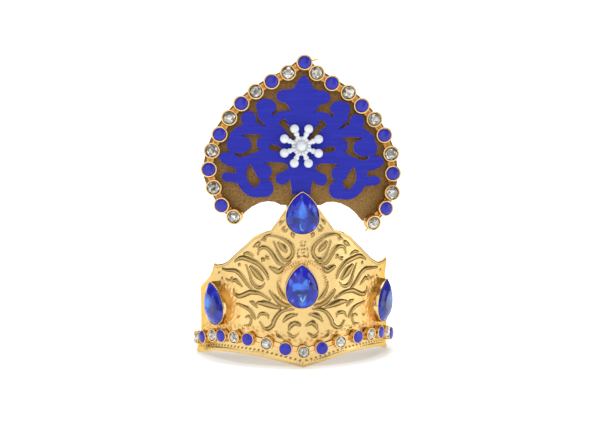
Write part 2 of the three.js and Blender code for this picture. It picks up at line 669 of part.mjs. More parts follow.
function board() {
  const group = new THREE.Group();
  const frames = boardCupFrames();
  const middle = frames[(frames.length - 1) / 2];
  const stubs = [
    wireEnd(middle, topWireTurn, wireStub),
    wireEnd(frames.at(-1), endWireTurn, wireStub / 3),
  ];
  group.add(
    piece('back_plate', slab(outlineOfBoard(), boardThick, -boardThick), finish.boardPaint),
    fretwork(),
    pearlFlower(),
    cupChain('plate_chain', frames, stubs),
    ...chainStones('plate_stone', frames, frames.length % 4 === 1),
  );
  // The tab's front face clears the inside of the band behind the peak
  const insideAtTab = Math.sqrt((bandRadius - bandSheet) ** 2 - tabHalfWidth ** 2) - seatGap;
  const hubBack = tabDrop * Math.sin(boardLean);
  const out = new THREE.Vector3(0, -Math.cos(boardLean), Math.sin(boardLean));
  const up = new THREE.Vector3(0, Math.sin(boardLean), Math.cos(boardLean)).applyAxisAngle(out, -boardRoll);
  const right = new THREE.Vector3().crossVectors(up, out);
  const frame = new THREE.Matrix4().makeBasis(right, up, out);
  frame.setPosition(0, hubBack - insideAtTab, boardHubHeight);
  frame.decompose(group.position, group.quaternion, group.scale);
  return group;
}

const bandFrames = bandCupFrames();
const crown = new THREE.Group();
crown.add(
  crownBand(),
  ...pears(),
  cupChain('band_chain', bandFrames),
  ...chainStones('band_stone', bandFrames, bandFrames.length % 4 === 3),
  board(),
);

// The origin lies under the middle of the whole crown, on the surface it stands on
const extent = new THREE.Box3().setFromObject(crown, true);
const middle = extent.getCenter(new THREE.Vector3());
crown.position.set(-middle.x, -middle.y, -extent.min.z);

export default crown;
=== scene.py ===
# %% [markdown]
# # A small idol crown, dressed for the studio
# The solids from the CAD model give the sizes and places. Each cell below models or paints one
# piece of the crown over them. All sizes are in millimetres, turned into metres by `mm`. Long
# tables are in thousandths of the spans named beside them.

# %% Load the solids
import math

import bpy
import numpy as np
from mathutils import Matrix, Vector


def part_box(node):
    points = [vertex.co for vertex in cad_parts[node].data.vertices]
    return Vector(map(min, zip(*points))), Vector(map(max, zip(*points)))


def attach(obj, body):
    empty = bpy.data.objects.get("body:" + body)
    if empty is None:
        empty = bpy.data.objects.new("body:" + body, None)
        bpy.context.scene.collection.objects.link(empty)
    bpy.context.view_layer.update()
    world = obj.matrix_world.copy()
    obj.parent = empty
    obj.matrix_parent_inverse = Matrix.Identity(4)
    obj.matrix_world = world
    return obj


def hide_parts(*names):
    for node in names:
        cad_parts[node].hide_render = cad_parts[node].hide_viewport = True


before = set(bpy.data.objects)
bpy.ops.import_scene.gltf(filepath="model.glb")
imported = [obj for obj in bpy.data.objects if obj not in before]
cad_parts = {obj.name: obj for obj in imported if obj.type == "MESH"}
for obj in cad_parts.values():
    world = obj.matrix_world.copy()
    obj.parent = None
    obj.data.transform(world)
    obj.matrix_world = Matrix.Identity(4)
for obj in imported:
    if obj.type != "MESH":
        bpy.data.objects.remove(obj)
mm = 0.001
deg = math.radians
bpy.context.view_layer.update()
print("solids:", len(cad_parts))

# %% [markdown]
# ## The places on the band
# The band is one strip of sheet bent to a half circle, with a straight strap behind each side.
# Its ornament is easiest to lay out flat: along the strip and up from the surface. One function
# then bends a flat place to its real one. It is shared by all pieces that sit on the band.

# %% Band measures
RADIUS = 30.5 * mm
HEIGHT = 55 * mm
QUARTER = RADIUS * math.pi / 2
TAIL = 12 * mm
FLARE = deg(4)
HALF = QUARTER + TAIL
FOOT_RISE = 4.1 * mm
SOLID_SHEET = 0.8 * mm
band_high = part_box("crown_band")[1]
AXIS_Y = band_high.y - TAIL * math.cos(FLARE) - SOLID_SHEET * math.sin(FLARE)
# Thousandths: along half the strip, of the height at the top, of its rise at the foot
EDGES = np.array([[0, 1000, 0], [50, 958, 200], [100, 908, 400], [169, 800, 660], [200, 790, 780],
    [231, 777, 880], [267, 757, 940], [302, 720, 990], [364, 665, 1000], [440, 600, 990],
    [489, 571, 930], [533, 574, 860], [565, 585, 780], [590, 530, 680], [620, 490, 560],
    [660, 458, 420], [711, 430, 250], [770, 400, 120], [828, 365, 50], [860, 300, 30],
    [900, 200, 0], [950, 165, 0], [1000, 165, 0]]) / 1000
print("band axis at y =", round(AXIS_Y / mm, 2), "mm; half strip", round(HALF / mm, 2), "mm")


def edge_heights(along):
    share = np.minimum(np.abs(along) / HALF, 1)
    top = np.interp(share, EDGES[:, 0], EDGES[:, 1]) * HEIGHT
    foot = np.interp(share, EDGES[:, 0], EDGES[:, 2]) * FOOT_RISE
    return top, foot


def band_outward(along):
    turn = np.clip(along / RADIUS, -math.pi / 2, math.pi / 2)
    past = np.abs(along) > QUARTER
    x = np.where(past, np.sign(along) * math.cos(FLARE), np.sin(turn))
    y = np.where(past, -math.sin(FLARE), -np.cos(turn))
    return np.stack([x, y, np.zeros_like(x)], -1)


def band_places(along, height, off):
    """Bend flat places to the band. off stands out from the sheet."""
    along, height = np.broadcast_arrays(np.asarray(along, float), height)
    out = band_outward(along)
    past = np.maximum(np.abs(along) - QUARTER, 0)
    base = np.where((past > 0)[..., None], 0, out * RADIUS)
    base[..., 0] += np.where(past > 0, np.sign(along) * (RADIUS + past * math.sin(FLARE)), 0)
    base[..., 1] += past * math.cos(FLARE)
    places = base + out * np.asarray(off)[..., None]
    places[..., 1] += AXIS_Y
    places[..., 2] = height
    return places


def band_frame(along, height, off, lean=0):
    """Axes on the band: right, up and out, turned in the surface by lean."""
    out = Vector(band_outward(np.array(along)))
    up = Matrix.Rotation(lean, 3, out) @ Vector((0, 0, 1))
    right = up.cross(out)
    axes = Matrix((right, up, out)).transposed().to_4x4()
    return Matrix.Translation(Vector(band_places(along, height, off))) @ axes


# %% [markdown]
# ## The places on the board
# The board behind the peak leans back a little and is turned by about one degree. Its pieces
# are all laid out from the middle of the flower: right, up and out of the board.

# %% Board measures
BOARD_LEAN = deg(6)
BOARD_ROLL = deg(1.2)
SPAN = 29.24 * mm
CHAIN_TOP = 26.85 * mm
board_out = Vector((0, -math.cos(BOARD_LEAN), math.sin(BOARD_LEAN)))
board_up = Matrix.Rotation(-BOARD_ROLL, 3, board_out) @ Vector(
    (0, math.sin(BOARD_LEAN), math.cos(BOARD_LEAN)))
board_frame = Matrix.Translation((0, AXIS_Y - 26.10 * mm, 70.1 * mm)) @ Matrix(
    (board_up.cross(board_out), board_up, board_out)).transposed().to_4x4()
flower_low, flower_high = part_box("pearl_flower")
print("flower is", round((flower_high.x - flower_low.x) / mm, 1), "mm wide")

# %% Curves and tables
HEADING_REACH = 0.4 * mm


def from_table(rows, *spans):
    """Thousandths as real sizes, with one span for each column."""
    return np.array(rows) / 1000 * spans


def smooth_path(points, steps=8):
    """A Catmull-Rom curve through the points."""
    points = np.array(points, float)
    padded = np.vstack([2 * points[0] - points[1], points, 2 * points[-1] - points[-2]])
    t = np.linspace(0, 1, steps, endpoint=False)[:, None]
    parts = []
    for a, b, c, d in zip(padded, padded[1:], padded[2:], padded[3:]):
        parts.append(0.5 * (2 * b + (c - a) * t + (2 * a - 5 * b + 4 * c - d) * t ** 2
                            + (3 * b - a - 3 * c + d) * t ** 3))
    return np.vstack([*parts, points[-1:]])


def evenly(path, spacing=None, count=None):
    """Places and headings along a path: one each spacing from its start, or count in all."""
    step = np.linalg.norm(np.diff(path, axis=0), axis=1)
    run = np.concatenate([[0], np.cumsum(step)])
    if count:
        at = np.linspace(0, run[-1], count)
    else:
        at = np.minimum(np.arange(0, run[-1] + spacing * 0.05, spacing), run[-1])

    def place(at):
        at = np.clip(at, 0, run[-1])
        return np.stack([np.interp(at, run, path[:, i]) for i in range(2)], -1)

    heading = place(at + HEADING_REACH) - place(at - HEADING_REACH)
    return place(at), heading / np.linalg.norm(heading, axis=1, keepdims=True)


ROW = [(0, 1000), (150, 863), (323, 760), (490, 644), (653, 497), (785, 324), (893, 142),
       (971, -70), (1000, -291), (975, -514), (893, -710), (766, -867)]
row_path = smooth_path(from_table(ROW, SPAN, CHAIN_TOP), 16)
print("row of cups on the board:", len(row_path), "places")

# %% [markdown]
# ## Camera and light
# The camera looks from a little above and a little from one side. Broad soft lamps and a pale
# world give the even light of a plain product picture.

# %% Studio camera and light
CAMERA_TURN, CAMERA_RISE, CAMERA_ROLL, CAMERA_FAR = deg(-5.2), deg(6.83), deg(-0.23), 0.586
away = Vector((math.sin(CAMERA_TURN) * math.cos(CAMERA_RISE),
               -math.cos(CAMERA_TURN) * math.cos(CAMERA_RISE), math.sin(CAMERA_RISE)))
camera_right = Vector((math.cos(CAMERA_TURN), math.sin(CAMERA_TURN), 0))
roll = Matrix.Rotation(CAMERA_ROLL, 3, away)
camera_right, camera_up = roll @ camera_right, roll @ away.cross(camera_right)
aim = Vector((0, AXIS_Y - 11.587 * mm, 47 * mm)) + camera_right * 0.85 * mm - camera_up * 1.69 * mm
bpy.ops.object.camera_add(location=aim + away * CAMERA_FAR)
camera = bpy.context.object
camera.rotation_euler = Matrix((camera_right, camera_up, away)).transposed().to_euler()
camera.data.lens = 108
camera.data.clip_start = 0.01
bpy.context.scene.camera = camera
bpy.context.scene.view_settings.view_transform = "Standard"


def soft_light(name, location, size, watts):
    """A square lamp, turned to the middle of the crown."""
    bpy.ops.object.light_add(type="AREA", location=location)
    lamp = bpy.context.object
    lamp.name = name
    lamp.data.size = size
    lamp.data.energy = watts
    toward = Vector((0, 0, 50 * mm)) - Vector(location)
    lamp.rotation_euler = toward.to_track_quat("-Z", "Y").to_euler()


soft_light("front light", (-0.2, -0.8, 0.5), 0.9, 3.1)
soft_light("side light", (0.7, -0.3, 0.2), 0.5, 1.6)
soft_light("far side light", (-0.7, -0.25, 0.2), 0.5, 0.9)
soft_light("top light", (0.05, 0.15, 0.8), 0.5, 2.0)
world = bpy.data.worlds.new("studio")
bpy.context.scene.world = world
world.use_nodes = True
sky = world.node_tree.nodes["Background"].inputs
sky["Color"].default_value = (1, 1, 1, 1)
sky["Strength"].default_value = 0.34
print("camera at", [round(c, 3) for c in camera.location])

# %% [markdown]
# ## Paint and metal
# Every finish is made of nodes that read the place on the piece, so it has no picture and no
# seam. A finish is a Principled shader with its even values set on the sockets. What varies,
# such as wear, comes from noise, or from a number that the mesh carries.

# %% Finish helpers
def finish(name, **values):
    """A new material. Values go to the sockets of its shader, with _ for a space."""
    material = bpy.data.materials.new(name)
    material.use_nodes = True
    shader = material.node_tree.nodes["Principled BSDF"]
    for key, value in values.items():
        shader.inputs[key.replace("_", " ")].default_value = value
    return material, material.node_tree, shader


def node(tree, kind, inputs=None, **settings):
    """A node of that kind. inputs gives its sockets a value or a link."""
    made = tree.nodes.new(kind)
    for key, value in settings.items():
        setattr(made, key, value)
    for key, value in (inputs or {}).items():
        if isinstance(value, bpy.types.NodeSocket):
            tree.links.new(value, made.inputs[key])
        else:
            made.inputs[key].default_value = value
    return made


def paint(red, green, blue):
    """A colour as the eye reads it in a picture, from 0 to 255, in scene values."""
    def scene_value(c):
        c /= 255
        return c / 12.92 if c <= 0.04045 else ((c + 0.055) / 1.055) ** 2.4
    return tuple(scene_value(c) for c in (red, green, blue)) + (1,)


def ramp(tree, factor, stops):
    made = node(tree, "ShaderNodeValToRGB", {"Fac": factor})
    elements = made.color_ramp.elements
    while len(elements) < len(stops):
        elements.new(0.5)
    for element, (at, colour) in zip(elements, stops):
        element.position = at
        element.color = colour
    return made.outputs["Color"]


def mix(tree, factor, first, second):
    made = node(tree, "ShaderNodeMix", {0: factor}, data_type="RGBA")
    for socket, value in ((made.inputs[6], first), (made.inputs[7], second)):
        if isinstance(value, bpy.types.NodeSocket):
            tree.links.new(value, socket)
        else:
            socket.default_value = value
    return made.outputs[2]


def noise(tree, scale, detail, stretch=None):
    place = node(tree, "ShaderNodeTexCoord").outputs["Object"]
    if stretch:
        values = {"Vector": place, "Scale": stretch}
        place = node(tree, "ShaderNodeMapping", values).outputs["Vector"]
    values = {"Vector": place, "Scale": scale, "Detail": detail}
    return node(tree, "ShaderNodeTexNoise", values).outputs["Fac"]


def carried(tree, name):
    return node(tree, "ShaderNodeAttribute", attribute_name=name).outputs["Fac"]


def spread(tree, value, low, high, to_low=0, to_high=1, **settings):
    """The value moved from one range to another."""
    values = {"Value": value, "From Min": low, "From Max": high, "To Min": to_low, "To Max": to_high}
    return node(tree, "ShaderNodeMapRange", values, **settings).outputs["Result"]


def reckon(tree, operation, *values):
    made = node(tree, "ShaderNodeMath", dict(enumerate(values)), operation=operation)
    return made.outputs["Value"]


def patchy(name, scale, detail, first, second, over=(), grain=None, stretch=None, **values):
    """A finish that wanders between two paints. over: numbers that the mesh carries, each with
    its paint. grain: scale, detail, strength and depth of a fine bump."""
    made, tree, shader = finish(name, **values)
    colour = mix(tree, noise(tree, scale, detail, stretch), paint(*first), paint(*second))
    for number, tone in over:
        colour = mix(tree, carried(tree, number), colour, paint(*tone))
    tree.links.new(colour, shader.inputs["Base Color"])
    if grain:
        bump = {"Height": noise(tree, *grain[:2]), "Strength": grain[2], "Distance": grain[3]}
        made_bump = node(tree, "ShaderNodeBump", bump)
        tree.links.new(made_bump.outputs["Normal"], shader.inputs["Normal"])
    return made, tree, shader


# %% Finishes of the metal parts
# Painted shade and painted reflection: the mesh carries where the sheet is painted dark olive, on
# and beside the ridges, and where it is painted a warm orange reflection of the nearby gold.
gold_sheet, tree, shader = patchy(
    "embossed gold", 260, 3, (222, 194, 136), (206, 174, 110),
    [("glow", (242, 196, 126)), ("painted_shade", (98, 76, 30))], (900, 2, 0.25, 0.05 * mm),
    Metallic=1.0, Specular_Tint=(0.9, 0.68, 0.34, 1))
polish = spread(tree, carried(tree, "painted_shade"), 0, 1, 0.26, 0.2)
rough = reckon(tree, "MULTIPLY_ADD", carried(tree, "glow"), 0.25, polish)
tree.links.new(rough, shader.inputs["Roughness"])

# Chain gold is painted darker orange where the mesh carries painted shade.
chain_gold, tree, shader = patchy(
    "chain gold", 420, 2, (230, 204, 154), (214, 170, 98), [("painted_cup_shade", (178, 118, 44))],
    (1100, 2, 0.35, 0.06 * mm), Metallic=1.0, Roughness=0.17, Specular_Tint=(0.9, 0.74, 0.46, 1))

board_paint, tree, shader = patchy(
    "board paint", 90, 2, (82, 62, 26), (138, 100, 46), (), (1400, 3, 0.5, 0.08 * mm),
    Metallic=0.35, Roughness=0.62)
specks = ramp(tree, noise(tree, 2600, 4), [(0.35, (0, 0, 0, 1)), (0.7, (1, 1, 1, 1))])
broad = shader.inputs["Base Color"].links[0].from_socket
speckled = mix(tree, specks, broad, paint(166, 128, 66))
tree.links.new(speckled, shader.inputs["Base Color"])
print("metal finishes:", gold_sheet.name, chain_gold.name, board_paint.name)

# %% [markdown]
# ## Paint, glass and pearl
# The panel has streaky matt paint with a pale sawn edge. The pears take their colours from the
# mesh: painted reflections and painted shade of the foil behind real glass, which shines in
# patches. Each facet of a clear stone has a grey of its own, a painted reflection as cut glass
# shows.

# %% Finishes of the panel, stones and pearls
blue_paint = patchy("blue paint", 1, 3, (25, 27, 132), (48, 54, 182), stretch=(120, 120, 1600),
                    Roughness=0.7, Specular_IOR_Level=0.2)[0]
cut_edge = patchy("cut edge", 500, 2, (150, 112, 70), (206, 170, 120), Roughness=0.6)[0]
dome_glass = patchy("blue dome", 300, 1, (29, 27, 144), (46, 44, 182), Roughness=0.3,
                    Specular_IOR_Level=0.3, Coat_Weight=0.25, Coat_Roughness=0.05)[0]
pearl = patchy("pearl", 250, 1, (228, 230, 232), (200, 206, 214), Roughness=0.2, Coat_Weight=0.6,
               Subsurface_Weight=0.15, Subsurface_Radius=(0.6 * mm, 0.5 * mm, 0.45 * mm))[0]

# A pear's colour is painted reflection and painted shade, and the pear also gives off a little light
# of its own in the same colours, as painted light.
pear_glass, tree, shader = finish(
    "blue pear glass", Roughness=0.08, Specular_IOR_Level=0.35, Coat_Weight=0.25,
    Coat_Roughness=0.02, Emission_Strength=0.12)
tint = node(tree, "ShaderNodeAttribute", attribute_name="tint").outputs["Color"]
for socket in ("Base Color", "Emission Color"):
    tree.links.new(tint, shader.inputs[socket])

clear_glass, tree, shader = finish("clear cut glass", Roughness=0.04, Metallic=0.2, Coat_Weight=1.0)
# Painted reflections: a grey for each facet
facet_glints = ramp(tree, carried(tree, "facet"), [
    (0.0, paint(74, 68, 62)), (0.3, paint(108, 102, 92)), (0.5, paint(146, 142, 134)),
    (0.8, paint(188, 182, 168)), (1.0, paint(240, 240, 240))])
tree.links.new(facet_glints, shader.inputs["Base Color"])
print("other finishes:", blue_paint.name, cut_edge.name, pear_glass.name, dome_glass.name,
      clear_glass.name, pearl.name)

# %% [markdown]
# ## Shared ways of working
# A piece starts as a primitive with nothing else selected. Faces are chosen in code by where
# they are or which way they face. A piece is modelled flat round the origin, and then its mesh
# is moved to its place, so that the object itself stays at the origin.

# %% Modelling helpers
FACING_UP = 0.9


def mode(name):
    bpy.ops.object.mode_set(mode=name)


def nothing_selected():
    if bpy.context.mode != "OBJECT":
        mode("OBJECT")
    bpy.ops.object.select_all(action="DESELECT")


def fresh(name, add, **settings):
    """A new primitive, with nothing else selected."""
    nothing_selected()
    add(**settings)
    made = bpy.context.object
    made.name = name
    bpy.ops.object.transform_apply(location=True, rotation=True, scale=True)
    return made


def shift(x, y, z):
    """A move by that many millimetres."""
    return Matrix.Translation((x * mm, y * mm, z * mm))


def only(piece):
    nothing_selected()
    piece.select_set(True)
    bpy.context.view_layer.objects.active = piece


def edit_chosen(piece, kind, chosen):
    """Go to edit mode with those faces or edges selected for which chosen(part) is true."""
    only(piece)
    mode("EDIT")
    bpy.ops.mesh.select_mode(type=kind)
    bpy.ops.mesh.select_all(action="DESELECT")
    mode("OBJECT")
    for part in piece.data.polygons if kind == "FACE" else piece.data.edges:
        part.select = bool(chosen(part))
    mode("EDIT")


def upper(face):
    return face.normal.z > FACING_UP


def edit_all(piece):
    only(piece)
    mode("EDIT")
    bpy.ops.mesh.select_all(action="SELECT")


def extrude(rise):
    bpy.ops.mesh.extrude_region_move(TRANSFORM_OT_translate={"value": (0, 0, rise)})


def narrow(scale, tall=1):
    bpy.ops.transform.resize(value=(scale, scale, tall), center_override=(0, 0, 0))


def close_and_turn_out(piece, distance=1e-7):
    """Merge doubles and turn all faces outwards."""
    edit_all(piece)
    bpy.ops.mesh.remove_doubles(threshold=distance)
    bpy.ops.mesh.normals_make_consistent(inside=False)
    mode("OBJECT")


def bevel(piece, width, segments, **settings):
    """Round off the sharp edges of a piece."""
    only(piece)
    bpy.ops.object.modifier_add(type="BEVEL")
    change = piece.modifiers[0]
    settings.update(width=width, segments=segments, limit_method="ANGLE")
    for key, value in settings.items():
        setattr(change, key, value)
    bpy.ops.object.modifier_apply(modifier=change.name)


def places_of(piece):
    flat = np.empty(len(piece.data.vertices) * 3)
    piece.data.vertices.foreach_get("co", flat)
    return flat.reshape(-1, 3)


def move_to(piece, places):
    piece.data.vertices.foreach_set("co", np.asarray(places, float).ravel())
    piece.data.update()


def carry(piece, name, values, domain="POINT"):
    """Let each corner, or each face, of the mesh carry a number that a finish can read."""
    layer = piece.data.attributes.new(name, "FLOAT", domain)
    layer.data.foreach_set("value", np.asarray(values, float))


def seat(piece, matrix):
    piece.data.transform(matrix)
    piece.data.update()


def copy_of(piece, matrix, name):
    made = piece.copy()
    made.data = piece.data.copy()
    made.name = name
    bpy.context.collection.objects.link(made)
    seat(made, matrix)
    return made


def join_all(pieces, name):
    nothing_selected()
    for piece in pieces:
        piece.select_set(True)
    bpy.context.view_layer.objects.active = pieces[0]
    bpy.ops.object.join()
    pieces[0].name = name
    return pieces[0]


def shade(piece, degrees):
    only(piece)
    bpy.ops.object.shade_smooth_by_angle(angle=deg(degrees))


def dress(piece, material, slot, *nodes):
    """Give a piece its finish, and let it ride on the crown in place of its solids."""
    piece.name = piece.name.replace(" ", "_")
    if material:
        piece.data.materials.clear()
        piece.data.materials.append(material)
    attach(piece, "root")
    if nodes:
        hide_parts(*nodes)
    piece.data.calc_loop_triangles()
    print(f"{piece.name}: {len(piece.data.loop_triangles)} triangles")


# %% [markdown]
# ## The floor
# A plain pale sweep: a floor that curves up into a wall behind the crown, so that no edge
# shows behind it. The floor gives off light of its own, turned down inside the front of the
# band as a painted shadow.

# %% Floor
WALL_AT = 2
floor = fresh("studio floor", bpy.ops.mesh.primitive_plane_add, size=6)


def edit_edges(test):
    ends = floor.data.vertices
    edit_chosen(floor, "EDGE", lambda edge: all(test(ends[v].co) for v in edge.vertices))


edit_edges(lambda co: co.y > WALL_AT)
extrude(3)
mode("OBJECT")
edit_edges(lambda co: co.y > WALL_AT and co.z < 0.1)
bpy.ops.mesh.bevel(offset=1.4, segments=24, profile=0.5)
mode("OBJECT")
bpy.ops.object.shade_smooth()
floor_paint, tree, shader = finish(
    "pale floor", Base_Color=(0.8, 0.8, 0.8, 1), Roughness=0.9, Emission_Color=(1, 1, 1, 1))
place = node(tree, "ShaderNodeTexCoord").outputs["Object"]
floor_y = node(tree, "ShaderNodeSeparateXYZ", {"Vector": place}).outputs["Y"]
from_axis = node(tree, "ShaderNodeVectorMath", {0: place, 1: (0, AXIS_Y, 0)}, operation="DISTANCE")
far_glow = spread(tree, floor_y, 0.1, 1.2, 0.75, 1.05)
# Painted shadow: less light from the floor inside the front of the band
near_crown = spread(tree, from_axis.outputs["Value"], 28 * mm, 37 * mm)
behind_crown = spread(tree, floor_y, AXIS_Y - 14 * mm, AXIS_Y + 26 * mm,
                      interpolation_type="SMOOTHSTEP")
outside_painted_shadow = reckon(tree, "MAXIMUM", near_crown, behind_crown)
strength = reckon(tree, "MULTIPLY", far_glow, outside_painted_shadow)
tree.links.new(strength, shader.inputs["Emission Strength"])
floor.data.materials.append(floor_paint)
print("floor corners:", len(floor.data.vertices))

# %% [markdown]
# ## The embossed band
# The real band is thin brass sheet pressed over a pattern, so its scrolls are soft round ridges
# with a shallow groove beside each. Extruding ridges would leave hard edges. A fine grid wrapped
# round the band gives the pressed look: each corner is lifted by its distance to the strokes.

# %% Strokes of the ornament
# Each stroke: its width, then places in thousandths of the radius across and the height up
STROKES = [
    (1.1, [(424, 739), (357, 767), (286, 766), (221, 755), (159, 733), (123, 711), (104, 685),
     (107, 663), (130, 640), (172, 626), (205, 631), (237, 651), (260, 676), (298, 730)]),
    (1.7, [(247, 725), (210, 702), (172, 677)]),
    (1.1, [(459, 655), (446, 683), (411, 697), (366, 693), (321, 668), (263, 617), (218, 601),
     (178, 598), (128, 618)]),
    (1.3, [(687, 604), (653, 621), (614, 629), (564, 625), (456, 600), (383, 553), (357, 514)]),
    (1.0, [(579, 589), (539, 530), (523, 500), (491, 473), (450, 462), (415, 470), (395, 486)]),
    (2.0, [(529, 580), (488, 555), (456, 533), (415, 509)]),
    (1.2, [(812, 542), (703, 550), (665, 543), (624, 524), (558, 472), (517, 448)]),
    (1.3, [(701, 437), (690, 414), (650, 402), (595, 415), (545, 430), (491, 432), (427, 424),
     (338, 395)]),
    (1.6, [(337, 583), (288, 570), (248, 561), (202, 583)]),
    (1.7, [(461, 373), (399, 372), (329, 362), (242, 347)]),
    (1.1, [(674, 359), (564, 335), (515, 306), (489, 276)]),
    (1.4, [(341, 444), (303, 418), (247, 385), (183, 364), (118, 362)]),
    (1.0, [(266, 495), (247, 455), (208, 418), (163, 393)]),
    (1.3, [(202, 269), (170, 291), (124, 305), (68, 309)]),
    (0.8, [(589, 280), (556, 291), (529, 273), (546, 240), (594, 233)]),
    (0.6, [(670, 273), (645, 287)]),
    (0.6, [(778, 495), (744, 487), (717, 505), (685, 491)]),
    (1.1, [(501, 698), (449, 720), (466, 698)]),
    (0.8, [(850, 525), (846, 515)]),
    (0.8, [(818, 495), (814, 487)]),
    (0.8, [(867, 466), (863, 458)]),
    (0.8, [(790, 466), (786, 458)]),
    (0.45, [(0, 651), (47, 647), (50, 670), (42, 694)]),
    (0.5, [(22, 688), (0, 692)]),
    (0.5, [(12, 670), (0, 671)]),
    (0.6, [(28, 710), (0, 712)]),
    (0.8, [(26, 730), (18, 728)]),
    (0.6, [(56, 640), (50, 650)]),
    (1.2, [(101, 339), (173, 337), (232, 324), (273, 297), (300, 269), (314, 245), (355, 226),
     (399, 227), (442, 260)]),
    (1.3, [(30, 245), (86, 260), (132, 244), (146, 221)]),
    (0.9, [(160, 206), (132, 187), (96, 182), (50, 198)]),
    (0.9, [(398, 757), (384, 733)]),
    (1.2, [(421, 633), (396, 621)]),
    (1.0, [(378, 648), (352, 631)]),
    (0.8, [(602, 654), (558, 660), (507, 642)]),
    (1.0, [(653, 591), (639, 583)]),
    (1.0, [(719, 482), (687, 495), (659, 483), (621, 461)]),
    (1.0, [(542, 377), (504, 368), (471, 344)]),
    (0.9, [(466, 282), (440, 307), (408, 312), (368, 305), (354, 285)]),
    (0.8, [(278, 209), (255, 186), (210, 171)]),
    (0.8, [(183, 821), (206, 806), (178, 794), (155, 809)]),
    (0.8, [(236, 829), (222, 845), (196, 856)]),
    (1.2, [(110, 790), (96, 760)]),
]
STROKE_HALF = 0.6 * mm
RELIEF = 0.5 * mm
CENTRE_HEIGHT = 26.2 * mm
RING_IN, RING_OUT = 6.9 * mm, 8.2 * mm
SIDE_ALONG = deg(56.6) * RADIUS
SIDE_HEIGHT = 18.9 * mm
SIDE_LEAN = deg(17)


def flat_stroke(places):
    across, up = np.array(places).T / 1000
    return np.stack([np.arcsin(across) * RADIUS, up * HEIGHT], -1)


def pear_outline(wide, tall, count):
    turn = np.arange(count) / count * 2 * math.pi
    across = np.sin(turn) * np.sqrt(np.sin(turn / 2)) / 0.8623
    return np.stack([wide / 2 * across, tall / 2 * np.cos(turn)], -1)


ridges = [(wide * STROKE_HALF, smooth_path(flat_stroke(places))) for wide, places in STROKES]
# Fine ticks on the ring round the centre stone
for turn in np.radians(np.arange(6, 124, 6)):
    ray = np.array([math.sin(turn), math.cos(turn)])
    ridges.append((0.2 * mm, [0, CENTRE_HEIGHT] + np.outer([RING_IN, RING_OUT], ray)))
print("strokes on each half:", len(ridges))

# %% [markdown]
# ## How far the sheet is pressed out
# A ridge is round on top and thins out to both ends. Its body and sides carry painted shade, with
# a lighter middle. The rows along the foot are worked out the same way from the height above the
# foot.

# %% Lift of the sheet at a flat place
def ease(value, start, width):
    """0 up to the start, then rising to 1 over the width."""
    return np.clip((value - start) / width, 0, 1)


def hill(value, middle, width, power=2):
    """1 at the middle, falling softly to 0 on both sides."""
    return np.exp(-((value - middle) / width) ** power)


def zigzag(value):
    return np.abs(np.mod(value, 1) - 0.5) * 2


def round_top(value):
    return np.sqrt(np.clip(1 - value ** 2, 0, 1))


def near_path(along, height, path):
    """Distance to a path and how far along it the nearest place is, from 0 to 1."""
    best = np.full(along.shape, 1.0)
    share = np.zeros(along.shape)
    count = len(path) - 1
    for i, (start, end) in enumerate(zip(path, path[1:])):
        run = end - start
        t = ((along - start[0]) * run[0] + (height - start[1]) * run[1]) / max(run @ run, 1e-12)
        t = np.clip(t, 0, 1)
        far = np.hypot(along - start[0] - t * run[0], height - start[1] - t * run[1])
        closer = far < best
        best = np.where(closer, far, best)
        share = np.where(closer, (i + t) / count, share)
    return best, share


def pressed(along, height):
    """Lift of the sheet at the ridges, and the painted shade on their bodies and sides."""
    along = np.abs(along)
    lift, ridge_shade = np.zeros(along.shape), np.zeros(along.shape)
    for half, path in ridges:
        low, high = path.min(axis=0) - half * 1.8, path.max(axis=0) + half * 1.8
        inside = (along > low[0]) & (along < high[0]) & (height > low[1]) & (height < high[1])
        far, share = near_path(along[inside], height[inside], path)
        width = half * (0.45 + 0.55 * np.sin(math.pi * np.clip(share, 0.02, 0.98)))
        r = far / width
        dome = round_top(r) * RELIEF * np.clip(width / STROKE_HALF, 0.5, 1.15)
        lift[inside] = np.maximum(lift[inside], dome)
        # Painted shade over the ridge, less along its middle
        body = ease(-r, -1.12, 0.25) * (1 - 0.6 * hill(r, 0, 0.42))
        ridge_shade[inside] = np.maximum(ridge_shade[inside], body * ease(width, 0, 0.25 * mm))
    return lift, ridge_shade


def border(along, rise, even_rise):
    """The dashes and beads below the chain and the bumps above it, by the rise from the foot."""
    dash = zigzag((np.abs(along) + 0.6 * rise) / (1.5 * mm))
    dashes = ease(-dash, -0.55, 0.2) * hill(rise, 2.0 * mm, 0.38 * mm, 4)
    beads = round_top(zigzag(along / (0.95 * mm))) * hill(rise, 0.95 * mm, 0.3 * mm, 4)
    waves = np.sin(along / (0.55 * mm)) * np.sin(even_rise / (0.42 * mm) + along / (1.7 * mm))
    return dashes, beads, waves * hill(even_rise, 8.3 * mm, 0.9 * mm, 4)


# %% [markdown]
# ## The sheet itself
# The grid runs up the outer side, over the top edge and down the inner side, so it closes to a
# sheet of even thickness. Its rows follow the peak, the wings and the arched foot.

# %% Grid of the band
SHEET = 0.6 * mm
STRIP_END = 59.91
OUTER_ROWS = 190
columns = np.concatenate([np.arange(0, 40, 0.25), np.arange(40, STRIP_END, 0.9), [STRIP_END]]) * mm
columns = np.concatenate([-columns[:0:-1], columns])
inner_shares = [1, 0.95, 0.9, 0.85, 0.8, 0.75, 0.7, 0.5, 0.4, 0.3, 0.2, 0.1, 0]
shares = np.concatenate([np.linspace(0, 1, OUTER_ROWS + 1), inner_shares, [0]])
offs = np.concatenate([np.zeros(OUTER_ROWS + 1), -np.ones(len(inner_shares)), [0]]) * SHEET
band = fresh("band_sheet", bpy.ops.mesh.primitive_grid_add, size=2,
             x_subdivisions=len(columns) - 1, y_subdivisions=len(shares) - 1)
flat = (places_of(band) + 1) / 2
column = np.rint(flat[:, 0] * (len(columns) - 1)).astype(int)
row = np.rint(flat[:, 1] * (len(shares) - 1)).astype(int)
